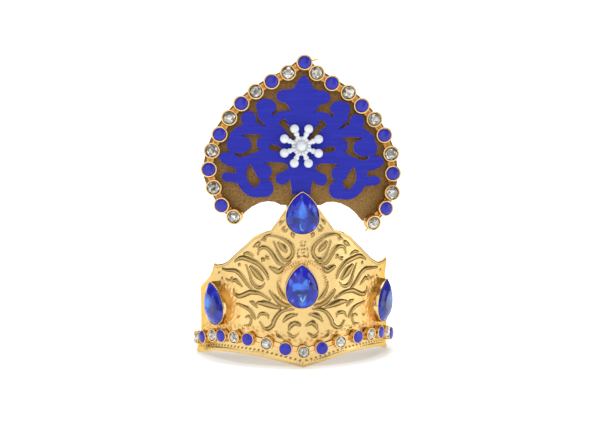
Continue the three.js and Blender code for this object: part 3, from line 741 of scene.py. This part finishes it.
outer = row <= OUTER_ROWS
along = columns[column]
side_along = np.abs(along)
top, even_foot = edge_heights(along)
# The real foot hangs a little lower than the even one, most of all on the left
foot = even_foot * (0.95 - 0.09 * ease(-along, 0, 18 * mm))
height = foot + (top - foot) * shares[row]
print("grid of the band:", len(columns), "by", len(shares), "corners")

# %% Lift of the band
lift, ridge_shade = pressed(along, height)
edge_gap = np.minimum(top - height, height - foot)
rim = np.clip(1 - np.abs(edge_gap - 0.4 * mm) / (0.4 * mm), 0, 1) * 0.2 * mm
front = (side_along < 46 * mm) * (height < top - 2 * mm)
rows = border(along, height - foot, height - even_foot)
dashes, beads, bumps = (values * front for values in rows)
lift = np.maximum(lift, np.maximum(beads * 0.25 * mm, bumps * 0.3 * mm)) - dashes * 0.15 * mm
# The sheet is crumpled beside the side stones
from_side = np.hypot(side_along - SIDE_ALONG, height - SIDE_HEIGHT)
warm_side = hill(from_side, 7.2 * mm, 2.6 * mm) * (side_along < SIDE_ALONG)
crumple = (np.sin(along / (0.42 * mm) + 1.7 * np.sin(height / (0.9 * mm)))
           * np.sin(height / (0.5 * mm) + 2.1 * np.sin(along / (1.1 * mm)))) * warm_side
lift = lift + crumple * 0.16 * mm
free = ease(edge_gap, 0, 0.6 * mm) * ease(HALF - side_along, 0, 1 * mm)
off = offs[row] + np.where(outer, np.maximum(lift, rim) * free, 0)
print("highest lift:", round(lift.max() / mm, 2), "mm")

# %% [markdown]
# ## The uneven places
# The real band was bent by hand. Its right corner is pulled outwards and its left wing is
# flatter. Its left foot is pushed outwards, and the strap behind that foot inwards.

# %% Uneven places of the band
stray = 1.9 * mm * hill(along, 33.5 * mm, 5 * mm) * ease(height, 24 * mm, 8 * mm)
off += 1.1 * mm * hill(along, 35 * mm, 6 * mm) * ease(height, 26 * mm, 5 * mm)
off += 1.3 * mm * ease(-height, -6 * mm, 4.5 * mm) * ease(-along, 26 * mm, 12 * mm)
off += 0.8 * mm * ease(-along, 36 * mm, 8 * mm) - 0.14 * np.maximum(-along - QUARTER, 0)
flatten = 0.4 * hill(along, -29.5 * mm, 2 * mm) - 0.6 * hill(along, -33.8 * mm, 2.5 * mm)
flatten *= mm * ease(height, 25 * mm, 5 * mm)
move_to(band, band_places(along + stray, height + stray * 0.1 + flatten, off))
print("pulled outwards by up to", round(stray.max() / mm, 2), "mm")

# %% Painted shade, painted warm reflection and closing of the band
# Painted shade: on the ridges and in the dashes, in a line just under the top edge, and in the
# hollows of the bumps and of the crumpled sheet
edge_line = hill(top - height, 0.95 * mm, 0.2 * mm) * (side_along < 36 * mm)
dark = (ridge_shade * 0.9 + dashes + edge_line * 0.5 + np.clip(-bumps, 0, 1) * 0.5
        + np.clip(-crumple, 0, 1) * 0.3)
carry(band, "painted_shade", np.where(outer, np.clip(dark, 0, 1), 0))
# Painted warm reflection of the nearby gold: a row above the chain, a zone beside each side stone
# towards the middle, and a ring round the centre stone
warm_band = hill(height - even_foot, 8.2 * mm, 1.3 * mm) * (0.35 + 0.3 * np.sin(along / (3.1 * mm)))
from_centre = np.hypot(along, height - CENTRE_HEIGHT)
warm = warm_band + 0.65 * warm_side + 0.4 * hill(from_centre, 7.6 * mm, 0.8 * mm)
carry(band, "glow", np.where(outer, np.clip(warm, 0, 1), 0))
close_and_turn_out(band, 2e-6)
mode("EDIT")
bpy.ops.mesh.select_all(action="DESELECT")
bpy.ops.mesh.select_mode(type="EDGE")
bpy.ops.mesh.select_non_manifold(extend=False, use_wire=False, use_boundary=True,
                                 use_multi_face=False, use_non_contiguous=False, use_verts=False)
bpy.ops.mesh.fill()
bpy.ops.mesh.select_all(action="SELECT")
bpy.ops.mesh.normals_make_consistent(inside=False)
mode("OBJECT")
shade(band, 50)
dress(band, gold_sheet, "gold_sheet", "crown_band")

# %% [markdown]
# ## Pear stones and their bezels
# The four large stones are foil-backed glass in thin gold bezels. Each stone is a pear outline
# drawn up to a girdle, then narrowed in two steps of facets to its flat table. The bezel is the
# same outline, a little larger, cut out to a thin wall.

# %% Pear pieces
PEAR_WIDE, PEAR_TALL = 10.3 * mm, 13.8 * mm
BEZEL_WALL, BEZEL_RISE, BEZEL_ROOT = 0.55 * mm, 1.75 * mm, 1.1 * mm
POINT_SHARE = 0.55
GIRDLE_TOP = 1.75 * mm


def outline_disc(name, points):
    """A flat face with that outline, made from a round one."""
    made = fresh(name, bpy.ops.mesh.primitive_circle_add, vertices=len(points), radius=1,
                 fill_type="NGON")
    x, y, _ = places_of(made).T
    places = np.zeros((len(points), 3))
    places[np.argsort(np.mod(np.arctan2(y, x), 2 * math.pi)), :2] = points
    move_to(made, places)
    return made


def raise_face(piece, *steps):
    """Extrude the upper face up by each height, and scale it about the origin."""
    edit_chosen(piece, "FACE", lambda face: True)
    for rise, scale in steps:
        extrude(rise)
        if scale != 1:
            narrow(scale)
    mode("OBJECT")


def pear_stone():
    points = pear_outline(PEAR_WIDE, PEAR_TALL, 18)[::-1]
    stone = outline_disc("pear", points * POINT_SHARE)
    raise_face(stone, (0.7 * mm, 1 / POINT_SHARE), (0.35 * mm, 1), (0.6 * mm, 0.9),
               (0.75 * mm, 0.7 / 0.9), (0.3 * mm, 0.72))
    seat(stone, shift(0, 0, 0.65))
    close_and_turn_out(stone)
    edit_all(stone)
    bpy.ops.mesh.quads_convert_to_tris(quad_method="FIXED_ALTERNATE", ngon_method="BEAUTY")
    bpy.ops.mesh.subdivide(number_cuts=5)
    mode("OBJECT")
    return stone


def pear_bezel():
    points = pear_outline(PEAR_WIDE + BEZEL_WALL, PEAR_TALL + BEZEL_WALL, 48)[::-1]
    made = outline_disc("bezel", points)
    raise_face(made, (BEZEL_RISE + BEZEL_ROOT, 1))
    edit_chosen(made, "FACE", lambda face: upper(face) and face.center.z > 1 * mm)
    bpy.ops.mesh.inset(thickness=0.24 * mm)
    extrude(-1.2 * mm)
    close_and_turn_out(made)
    bevel(made, 0.08 * mm, 2)
    seat(made, Matrix.Translation((0, 0, -BEZEL_ROOT)))
    return made


# %% [markdown]
# ## The play of the foil
# A real foil-backed pear shows a bright kite or V, dark wedges beside it, a ring and a few
# sparks, and the two front stones show them differently. They are painted on the mesh in layers:
# painted reflections, painted highlights and painted shade.

# %% Colours of the pears
def chance(value):
    """A number from 0 to 1 that looks random and is always the same."""
    return np.mod(np.sin(value) * 43758.5, 1)


def within(value, low, high, soft=0.04):
    """1 between low and high, falling softly to 0 outside."""
    return np.clip((value - low) / soft + 0.5, 0, 1) * np.clip((high - value) / soft + 0.5, 0, 1)


# Painted reflections, highlights and shade of the foil, by the place on the pear
def painted_foil_light(places, kind):
    x, y = places[:, 0] / (PEAR_WIDE / 2), places[:, 1] / (PEAR_TALL / 2)

    def spot(across, up, wide, tall):
        return np.exp(-(((x - across) / wide) ** 2 + ((y - up) / tall) ** 2) ** 2)

    around = np.arctan2(y + 0.2, x)
    sector = np.floor((around + math.pi) / (2 * math.pi) * 18)
    ring = np.floor(np.hypot(x, y + 0.2) * 3.2)
    spark = chance(sector * 12.99 + ring * 78.23 + kind * 3.7)[:, None]
    base = np.array([paint(18, 40, 184)[:3]])
    colour = base * (0.4 + 0.8 * spark) + spark ** 5 * np.array([[0.02, 0.1, 0.3]])
    layers = [(within(y, 0.35, 1.2, 0.4) * 0.7, (32, 26, 196)),
              (within(y, -1.1, -0.5, 0.3) * 0.5, (38, 52, 186))]
    if kind == 0:
        kite = np.minimum((0.62 - y) * 0.55, 0.12 + (y + 0.23) * 0.5)
        oval = np.hypot(x / 0.2, (y + 0.56) / 0.26)
        rim_light = np.clip(0.5 - x * 4, 0, 0.9) * within(y, -1, -0.5, 0.2)
        layers += [
            (spot(-0.55, -0.28, 0.36, 0.2) * 0.9, (14, 26, 78)),
            (spot(0.58, -0.26, 0.38, 0.28) * 0.9, (6, 26, 108)),
            (within(np.abs(x + 0.03) - kite, -1, 0, 0.08) * within(y, -0.24, 0.62), (66, 132, 246)),
            (within(oval, 0, 1) * 0.6, (26, 92, 190)),
            (within(oval, 0.8, 1.02, 0.2) * rim_light, (130, 200, 255)),
            (spot(0.42, 0.36, 0.08, 0.12) + spot(0.72, -0.72, 0.1, 0.1), (126, 132, 250))]
    elif kind == 1:
        left = within(x, -0.6, -0.02, 0.08) * within(
            y - 0.22 + 0.3 * np.abs(x + 0.3), -0.31, 0, 0.06)
        right = within(x, -0.06, 0.34, 0.08) * within(
            y - 0.14 - 0.9 * np.clip(x + 0.05, 0, 0.26), -0.6, 0, 0.06) * within(y, -0.09, 1)
        arms = np.abs(np.abs(x) - 0.2 * (y + 0.68) / 0.32)
        sparks = (spot(-0.74, 0.3, 0.07, 0.12) + spot(-0.44, 0.6, 0.07, 0.07)
                  + spot(0.43, 0.28, 0.05, 0.07) + spot(-0.6, -0.62, 0.07, 0.08))
        layers += [
            (spot(0, -0.24, 0.42, 0.17) * 0.95, (8, 30, 104)),
            (spot(0.68, -0.1, 0.25, 0.25) * 0.6, (16, 28, 120)),
            ((left + right).clip(0, 1), (62, 130, 246)),
            (spot(0, -0.48, 0.26, 0.2) * 0.6, (38, 104, 170)),
            (within(arms, -1, 0.03, 0.05) * within(y, -0.69, -0.38, 0.16), (166, 236, 255)),
            (spot(0, -0.78, 0.2, 0.09) * 0.6, (110, 150, 240)), (sparks, (126, 130, 246))]
    else:
        lit = -0.25 if kind == 2 else 0.3
        layers += [
            (spot(-lit, -0.35, 0.5, 0.3) * 0.95, (8, 18, 90)),
            (spot(0, 0.62, 0.5, 0.22) * 0.8, (20, 14, 150)),
            (spot(lit, 0.08, 0.42, 0.26) * 0.95, (70, 150, 255)),
            (spot(lit * 2, 0.45, 0.08, 0.08), (190, 210, 255))]
    # Painted shade round the edge of the stone, below the top of the girdle
    layers.append(((places[:, 2] < GIRDLE_TOP) * 0.7, (52, 22, 74)))
    broken = np.sin(np.floor((x + y) * 4) * 7.1 + np.floor((x - y) * 4) * 3.3) * 91.7
    for weight, tone in layers:
        weight = np.clip(weight * (0.62 + 0.38 * np.mod(broken, 1)), 0, 1)[:, None]
        colour = colour * (1 - weight) + np.array([paint(*tone)[:3]]) * weight
    return np.clip(colour * (0.74 if kind < 3 else 0.5), 0, 1)


# %% Pears in their places
pear_places = {
    "top": band_frame(-0.2 * mm, 49.6 * mm, 0.6 * mm) @ Matrix.Diagonal((1.02, 0.955, 1, 1)),
    "centre": band_frame(-0.45 * mm, CENTRE_HEIGHT + 0.1 * mm, 0.6 * mm),
    "left": band_frame(-SIDE_ALONG - 1.0 * mm, SIDE_HEIGHT, 0.55 * mm, SIDE_LEAN),
    "right": band_frame(SIDE_ALONG + 1.3 * mm, SIDE_HEIGHT, 0.55 * mm, -SIDE_LEAN),
}
pear = pear_stone()
flat_pear = places_of(pear)
bezel = pear_bezel()
for kind, (name, matrix) in enumerate(pear_places.items()):
    stone = copy_of(pear, matrix, f"{name} pear stone")
    tints = np.hstack([painted_foil_light(flat_pear, kind), np.ones((len(flat_pear), 1))])
    layer = stone.data.attributes.new("tint", "FLOAT_COLOR", "POINT")
    layer.data.foreach_set("color", tints.ravel())
    dress(stone, pear_glass, "blue_glass", f"{name}_stone")
    wall = copy_of(bezel, matrix, f"{name} bezel")
    shade(wall, 35)
    dress(wall, chain_gold, "chain_gold", f"{name}_setting")
bpy.data.objects.remove(pear)
bpy.data.objects.remove(bezel)

# %% [markdown]
# ## Cup chains
# Both chains are the same bought cup chain: small round cups soldered to flat links, every
# second one with a blue dome. One cup is turned from a cylinder and copied along each row.

# %% One cup and the two stones
CUP, BORE, CUP_DEEP, PITCH = 2.55 * mm, 2.02 * mm, 2.6 * mm, 5.9 * mm
BAND_PITCH = 5.5 * mm
DOME = 1.97 * mm


def model_cup():
    made = fresh("cup", bpy.ops.mesh.primitive_cylinder_add, vertices=32, radius=CUP,
                 depth=CUP_DEEP, location=(0, 0, CUP_DEEP / 2))
    edit_chosen(made, "FACE", upper)
    bpy.ops.mesh.inset(thickness=CUP - BORE)
    extrude(-1.45 * mm)
    bevel(made, 0.2 * mm, 3, angle_limit=deg(50))
    # Painted shade, darker towards the foot of the cup wall
    carry(made, "painted_cup_shade", np.clip(1 - places_of(made)[:, 2] / (1.5 * mm), 0, 0.7))
    return made


def model_dome():
    made = fresh("dome", bpy.ops.mesh.primitive_uv_sphere_add, segments=28, ring_count=16,
                 radius=DOME)
    edit_all(made)
    bpy.ops.mesh.bisect(plane_co=(0, 0, 0), plane_no=(0, 0, 1), use_fill=True, clear_inner=True)
    bpy.ops.mesh.select_all(action="SELECT")
    narrow(1, 0.9 * mm / DOME)
    mode("OBJECT")
    seat(made, Matrix.Translation((0, 0, CUP_DEEP - 0.2 * mm)))
    return made


def model_cut_stone():
    made = fresh("cut stone", bpy.ops.mesh.primitive_cylinder_add, vertices=8, radius=1.95 * mm,
                 depth=0.5 * mm, location=(0, 0, 2.15 * mm))
    edit_chosen(made, "FACE", upper)
    for rise, scale in ((0.3 * mm, 0.82), (0.4 * mm, 0.62)):
        extrude(rise)
        narrow(scale)
        bpy.ops.transform.rotate(value=math.pi / 8, orient_axis="Z", center_override=(0, 0, 0))
    bpy.ops.mesh.select_all(action="SELECT")
    bpy.ops.mesh.quads_convert_to_tris(quad_method="SHORTEST_DIAGONAL", ngon_method="BEAUTY")
    mode("OBJECT")
    return made


cup, dome, cut_stone = model_cup(), model_dome(), model_cut_stone()
print("faces of cup, dome and cut stone:", *(len(m.data.polygons) for m in (cup, dome, cut_stone)))

# %% [markdown]
# ## The two rows
# Two bars and a thin plate run from cup to cup. The chains were glued by hand, so the cups
# stray by up to two millimetres, and the lowest ones on the board lean over its edge.

# %% Links, wires and stones
def link_bars(first, second):
    """Two thin bars from cup to cup, side by side, and the plate between them."""
    start, end = (matrix @ Vector((0, 0, 0.5 * mm)) for matrix in (first, second))
    run = (end - start).normalized()
    out = (first.to_3x3() @ Vector((0, 0, 1)) + second.to_3x3() @ Vector((0, 0, 1))).normalized()
    cross = out.cross(run).normalized()
    axes = Matrix((run, cross, run.cross(cross))).transposed().to_4x4()
    middle = Matrix.Translation((start + end) / 2) @ axes
    parts = []
    # Painted shade between the cups: full on the plate, a little less on the bars
    for aside, down, wide, thick, tone in ((-0.78, 0, 0.6, 0.6, 0.75), (0.78, 0, 0.6, 0.6, 0.75),
                                           (0, -0.15, 1.6, 0.2, 1)):
        bar = fresh("link bar", bpy.ops.mesh.primitive_cube_add, size=1,
                    scale=((end - start).length - 1.6 * CUP, wide * mm, thick * mm))
        seat(bar, middle @ Matrix.Translation((0, aside * mm, down * mm)))
        carry(bar, "painted_cup_shade", np.full(8, tone))
        parts.append(bar)
    return parts


def wire(matrix, turn, length):
    """A cut wire end beside a cup."""
    made = fresh("wire end", bpy.ops.mesh.primitive_cylinder_add, vertices=12, radius=0.3 * mm,
                 depth=length, rotation=(0, math.pi / 2, 0),
                 location=(CUP + length / 2 - 0.3 * mm, 0, 0.7 * mm))
    seat(made, matrix @ Matrix.Rotation(turn, 4, "Z"))
    return made


def dress_stone(name, node, matrix, i, blue, wide, sparkle):
    turned = matrix @ Matrix.Rotation(i * 0.7, 4, "Z") @ Matrix.Diagonal((wide, wide, 1, 1))
    stone = copy_of(dome if blue else cut_stone, turned, name)
    if blue:
        shade(stone, 50)
        dress(stone, dome_glass, "blue_dome", node)
    else:
        # Painted reflections: a random grey for each facet, lifted by sparkle
        light = chance(np.arange(len(stone.data.polygons)) * 12.99 + i * 4.1)
        carry(stone, "facet", sparkle + (1 - sparkle) * light, "FACE")
        dress(stone, clear_glass, "clear_glass", node)


def dress_chain(label, node, places, extras=(), cup_shade_share=1, dome_wide=1, sparkle=0):
    pieces = [copy_of(cup, matrix, "cup copy") for matrix in places]
    for first, second in zip(places, places[1:]):
        pieces += link_bars(first, second)
    chain = join_all(pieces + list(extras), label)
    # The painted shade of the cup walls and links is scaled for each chain.
    cup_shade_values = np.empty(len(chain.data.vertices))
    painted_cup_shade = chain.data.attributes["painted_cup_shade"].data
    painted_cup_shade.foreach_get("value", cup_shade_values)
    painted_cup_shade.foreach_set("value", cup_shade_values * cup_shade_share)
    shade(chain, 35)
    dress(chain, chain_gold, "chain_gold", node)
    for i, matrix in enumerate(places):
        blue = i % 2 == 1
        stone_node = f"{node.replace('chain', 'stone')}_{i + 1:02d}"
        dress_stone(f"{label} stone {i + 1}", stone_node, matrix, i, blue,
                    dome_wide if blue else 1, sparkle)


# %% Chain on the band
# How far each cup strays along the band, in millimetres, and how far an end cup turns
band_strays = {-8: -1.5, -7: -0.5, -6: 0.3, -5: -0.5, -4: -0.45, -3: -0.9, -2: -0.3,
               2: 0.6, 3: 1.4, 4: 1.75, 5: 1.8, 6: 1.4, 7: 1.2, 8: 1.0}
end_turns = {-8: 14, -7: 14, -6: 10, -5: 6, 7: -12, 8: -12}
end_lifts = {-8: 1.2, -7: 0.75}
CHAIN_RISE = 4.8 * mm
band_cups = []
for k in range(-8, 9):
    place = k * BAND_PITCH + band_strays.get(k, 0) * mm
    foot_here = max(edge_heights(np.array(place))[1], FOOT_RISE * 0.12)
    cup_place = band_frame(place, foot_here + CHAIN_RISE, end_lifts.get(k, 0.3) * mm)
    turn = Matrix.Rotation(deg(end_turns.get(k, 0)), 4, "Y")
    band_cups.append(cup_place @ turn @ Matrix.Diagonal((0.86, 0.86, 0.7, 1)))
dress_chain("band cup chain", "band_chain", band_cups, cup_shade_share=0.1, dome_wide=1.2, sparkle=0.3)

# %% Chain on the board
CUP_OFF = 0.3 * mm
row_places, row_headings = evenly(row_path, PITCH)
last = len(row_places) - 1
leans = {11: deg(26), 10: deg(19), 9: deg(12)}
board_strays = {  # side and number from the top: right and up
    (-1, 6): (0.2, -0.3), (-1, 9): (1.4, 0.2), (-1, 10): (1.7, 0.4), (-1, 11): (1.85, 1.55),
    (1, 2): (-0.35, -0.3), (1, 4): (-0.3, -0.3), (1, 7): (0, -0.4),
    (1, 8): (-0.25, -0.8), (1, 9): (-0.35, -0.9), (1, 10): (-0.2, -0.2), (1, 11): (-0.4, -0.1)}


def board_cup(side, k):
    (x, y), (hx, hy) = row_places[k], row_headings[k]
    lean = leans.get(k, 0)
    across, up = board_strays.get((side, k), (0, 0))
    place = (side * x + across * mm, y + up * mm, CUP_OFF + CUP * math.sin(lean))
    hinge = Vector((-hx, side * -hy, 0))
    return board_frame @ Matrix.Translation(place) @ Matrix.Rotation(lean, 4, hinge)


top_cup = board_frame @ Matrix.Translation((0.65 * mm, CHAIN_TOP - 0.45 * mm, CUP_OFF))
board_cups = [board_cup(-1, k) for k in range(last, 0, -1)] + [top_cup]
board_cups += [board_cup(1, k) for k in range(1, last + 1)]
wires = [wire(board_cups[last], deg(16), 2.4 * mm), wire(board_cups[-1], deg(-118), 1.5 * mm)]
dress_chain("board cup chain", "plate_chain", board_cups, wires)
for model in (cup, dome, cut_stone):
    bpy.data.objects.remove(model)
print("cups:", len(band_cups), "on the band and", len(board_cups), "on the board")

# %% [markdown]
# ## The board
# A thin hard board with a rough coat of gold paint shows between and behind the cups. Its
# outline runs a little outside the row of cups, so it is drawn from that row.

# %% Board
UNDER = [(667, -866), (600, -777), (530, -715), (445, -668), (360, -648), (280, -655), (215, -690)]
BOARD_THICK = 1.6 * mm
BOARD_MARGIN = 1.6 * mm
STEM_HALF, STEM_LOW = 4.5 * mm, -27.5 * mm
EDGE_COUNT = 60
edge_places, edge_headings = evenly(row_path, count=EDGE_COUNT)
outwards = np.stack([-edge_headings[:, 1], edge_headings[:, 0]], -1)
right = edge_places + outwards * BOARD_MARGIN
right[0, 0] = 0
right = np.vstack([right, from_table(UNDER, SPAN, CHAIN_TOP),
                   [(STEM_HALF, UNDER[-1][1] / 1000 * CHAIN_TOP), (STEM_HALF, STEM_LOW)]])
left = right * (-1, 1)
# The lower left of the real board is tucked in under the cups
tuck = np.interp(left[:EDGE_COUNT, 1] / CHAIN_TOP, [-0.85, -0.65, -0.35], [1, 0.9, 0])
left[:EDGE_COUNT] += tuck[:, None] * (1.8 * mm, 0.9 * mm)
outline = np.vstack([right, left[:0:-1]])[::-1]
outline[:, 0] += np.interp(outline[:, 1] / CHAIN_TOP, [0.8, 1], [0, 0.6 * mm])
plate = outline_disc("painted board", outline)
raise_face(plate, (BOARD_THICK, 1))
close_and_turn_out(plate)
bevel(plate, 0.15 * mm, 2)
seat(plate, board_frame @ Matrix.Translation((0, 0, -BOARD_THICK)))
shade(plate, 35)
dress(plate, board_paint, "board_paint", "back_plate")

# %% [markdown]
# ## The pierced panel
# The blue scrollwork is sawn from a flat sheet: bands of changing width, round lobes, and
# windows cut right through. Each band and lobe is a small prism. They are united one by one,
# and the windows are then cut out. A narrow bevel leaves the pale line of the cut edge.

# %% Panel tables
FRET_WIDE = 26.1 * mm
FRET_TALL = 22.63 / 0.867 * mm
PANEL_LOW, PANEL_HIGH = 0.3 * mm, 2.5 * mm
# Thousandths of FRET_WIDE across and of FRET_TALL up; bands then have their width
FRET_BANDS = [
    [(0, 867, 24), (0, 824, 106), (0, 781, 164), (0, 730, 225), (0, 679, 256), (0, 594, 293),
     (0, 526, 290), (0, 440, 270), (0, 338, 256)],
    [(0, -173, 392), (0, -276, 307), (0, -361, 273), (0, -446, 256), (0, -497, 232),
     (0, -564, 232)],
    [(344, 269, 102), (319, 338, 106), (251, 384, 99), (173, 375, 112), (83, 316, 136),
     (5, 253, 170)],
    [(461, 465, 187), (459, 363, 170), (389, 262, 187)],
    [(795, 137, 153), (660, 195, 157), (507, 205, 164), (353, 186, 205), (215, 112, 256)],
    [(939, -150, 126), (853, -166, 170), (720, -199, 136), (567, -155, 150), (415, -104, 170),
     (245, -76, 222)],
    [(900, -376, 95), (784, -386, 119), (699, -358, 153)],
    [(727, -240, 153), (725, -342, 133), (694, -444, 143), (607, -530, 143), (508, -545, 136),
     (432, -515, 153)],
    [(550, -168, 119), (518, -252, 143), (459, -302, 170)],
    [(230, -374, 119), (138, -321, 136), (36, -285, 153)],
]
# Middle across and up, then half width and half height
FRET_LOBES = [(0, 48, 409, 286), (208, 612, 120, 82), (448, 482, 123, 94), (655, 328, 90, 94),
    (765, 18, 146, 134), (775, 125, 100, 75), (409, 31, 143, 143), (922, -145, 75, 65),
    (887, -376, 72, 58), (441, -500, 106, 109), (459, -302, 99, 95), (235, -379, 78, 75)]
FRET_FILL = [(0, 710), (120, 710), (200, 690), (200, 560), (240, 548), (190, 506), (150, 430),
    (0, 430)]
FRET_WINDOWS = [
    [(735, 132), (492, 137), (555, 67), (557, -8), (495, -27), (613, -67), (704, -120),
     (776, -132), (814, -81), (725, -90), (624, -30), (598, 22), (616, 76)],
    [(624, -217), (657, -276), (666, -341), (644, -417), (564, -495), (507, -423), (546, -364),
     (592, -297)],
    [(579, 406), (533, 334), (443, 244), (511, 263), (564, 326)],
    [(273, 271), (193, 283), (128, 199), (75, 89), (133, 114), (220, 211)],
    [(404, 6), (350, 27), (281, 1), (225, -35), (297, -53), (374, -38)],
]
print("bands, lobes and windows:", len(FRET_BANDS), len(FRET_LOBES), len(FRET_WINDOWS))

# %% [markdown]
# ## Sawing the panel
# One half is drawn and mirrored. The bands and lobes are united to one plate, and a saw blade
# follows each window.

# %% Panel prisms
def band_points(rows):
    """The outline of a band of changing width."""
    spine = smooth_path(from_table(rows, FRET_WIDE, FRET_TALL, FRET_WIDE / 2), 6)
    heading = np.gradient(spine[:, :2], axis=0)
    heading /= np.linalg.norm(heading, axis=1, keepdims=True)
    aside = np.stack([-heading[:, 1], heading[:, 0]], -1) * spine[:, 2:]
    return np.vstack([spine[:, :2] + aside, (spine[:, :2] - aside)[::-1]])


def lobe_points(lobe, count=36):
    x, y, wide, tall = from_table(lobe, FRET_WIDE, FRET_TALL, FRET_WIDE, FRET_TALL)
    turn = np.arange(count) / count * 2 * math.pi
    return np.stack([x + wide * np.cos(turn), y + tall * np.sin(turn)], -1)


def window_points(rows, steps=5):
    ring = [rows[-1], *rows, rows[0], rows[1]]
    smooth = smooth_path(from_table(ring, FRET_WIDE, FRET_TALL), steps)
    return smooth[steps:steps + steps * len(rows)]


def prism(points, low, high):
    after = np.roll(points, -1, axis=0)
    area = np.sum(points[:, 0] * after[:, 1] - after[:, 0] * points[:, 1])
    made = outline_disc("prism", points if area > 0 else points[::-1])
    raise_face(made, (high - low, 1))
    seat(made, Matrix.Translation((0, 0, low)))
    close_and_turn_out(made)
    return made


def combine(piece, other, operation):
    only(piece)
    bpy.ops.object.modifier_add(type="BOOLEAN")
    change = piece.modifiers[-1]
    change.operation = operation
    change.solver = "MANIFOLD"
    change.object = other
    bpy.ops.object.modifier_apply(modifier=change.name)
    bpy.data.objects.remove(other)


shapes = [band_points(rows) for rows in FRET_BANDS[:2]]
mirror = (-1, 1)
for points in ([band_points(rows) for rows in FRET_BANDS[2:]]
               + [lobe_points(lobe) for lobe in FRET_LOBES[1:]]
               + [from_table(FRET_FILL, FRET_WIDE, FRET_TALL)]):
    shapes += [points, points * mirror]
panel = prism(lobe_points(FRET_LOBES[0], 60), PANEL_LOW, PANEL_HIGH)
panel.name = "pierced panel"
for points in shapes:
    combine(panel, prism(points, PANEL_LOW, PANEL_HIGH), "UNION")
for rows in FRET_WINDOWS:
    for points in (window_points(rows), window_points(rows) * mirror):
        combine(panel, prism(points, 0, 3 * mm), "DIFFERENCE")
print("panel faces:", len(panel.data.polygons))

# %% [markdown]
# ## The edge of the panel
# Only the face is painted, so the sawn walls and the narrow bevel keep the pale colour of the
# cut. The panel was glued on a little low and turned by one degree.

# %% Panel edge and place
edit_all(panel)
bpy.ops.mesh.remove_doubles(threshold=0.02 * mm)
bpy.ops.mesh.dissolve_limited(angle_limit=deg(1))
bpy.ops.mesh.normals_make_consistent(inside=False)
mode("OBJECT")
panel.data.materials.clear()
for material in (blue_paint, cut_edge):
    panel.data.materials.append(material)
for face in panel.data.polygons:
    face.material_index = 0 if upper(face) else 1
bevel(panel, 0.12 * mm, 1, angle_limit=deg(70), material=1)
glued = shift(0.1, -0.4, 0) @ Matrix.Rotation(deg(-1), 4, "Z")
seat(panel, board_frame @ glued)
shade(panel, 30)
dress(panel, None, "blue_paint", "fretwork")

# %% [markdown]
# ## The pearl flower
# Eight arms of glued half pearls round a large one. The beads are round balls that shrink
# towards the middle, and a ring of tiny ones hides the glue.

# %% Flower
beads = []


def bead(radius, reach, turn, rise):
    place = (reach * mm * math.cos(turn), reach * mm * math.sin(turn), rise * mm)
    beads.append(fresh("bead", bpy.ops.mesh.primitive_uv_sphere_add, segments=24, ring_count=14,
                       radius=radius * mm, location=place))


for i in range(8):
    arm = deg(22.5 + 45 * i)
    bead(1.4, 5.65, arm, 4.3)
    bead(0.86, 3.95, arm, 4.1)
    bead(0.7, 3.0, arm, 4.1)
for i in range(14):
    bead(0.55, 2.35, deg(360 * i / 14), 4.1)
bead(1.5, 0, 0, 4.35)
back = fresh("flower back", bpy.ops.mesh.primitive_cylinder_add, vertices=32, radius=2.9 * mm,
             depth=1.1 * mm, location=(0, 0, 3.36 * mm))
flower = join_all([*beads, back], "pearl flower")
# The real flower is a touch larger than the solid and sits a little to the left
larger = Matrix.Diagonal((1.03, 1.03, 1, 1))
seat(flower, board_frame @ shift(-0.3, 0, 0) @ larger)
shade(flower, 40)
dress(flower, pearl, "pearl", "pearl_flower")
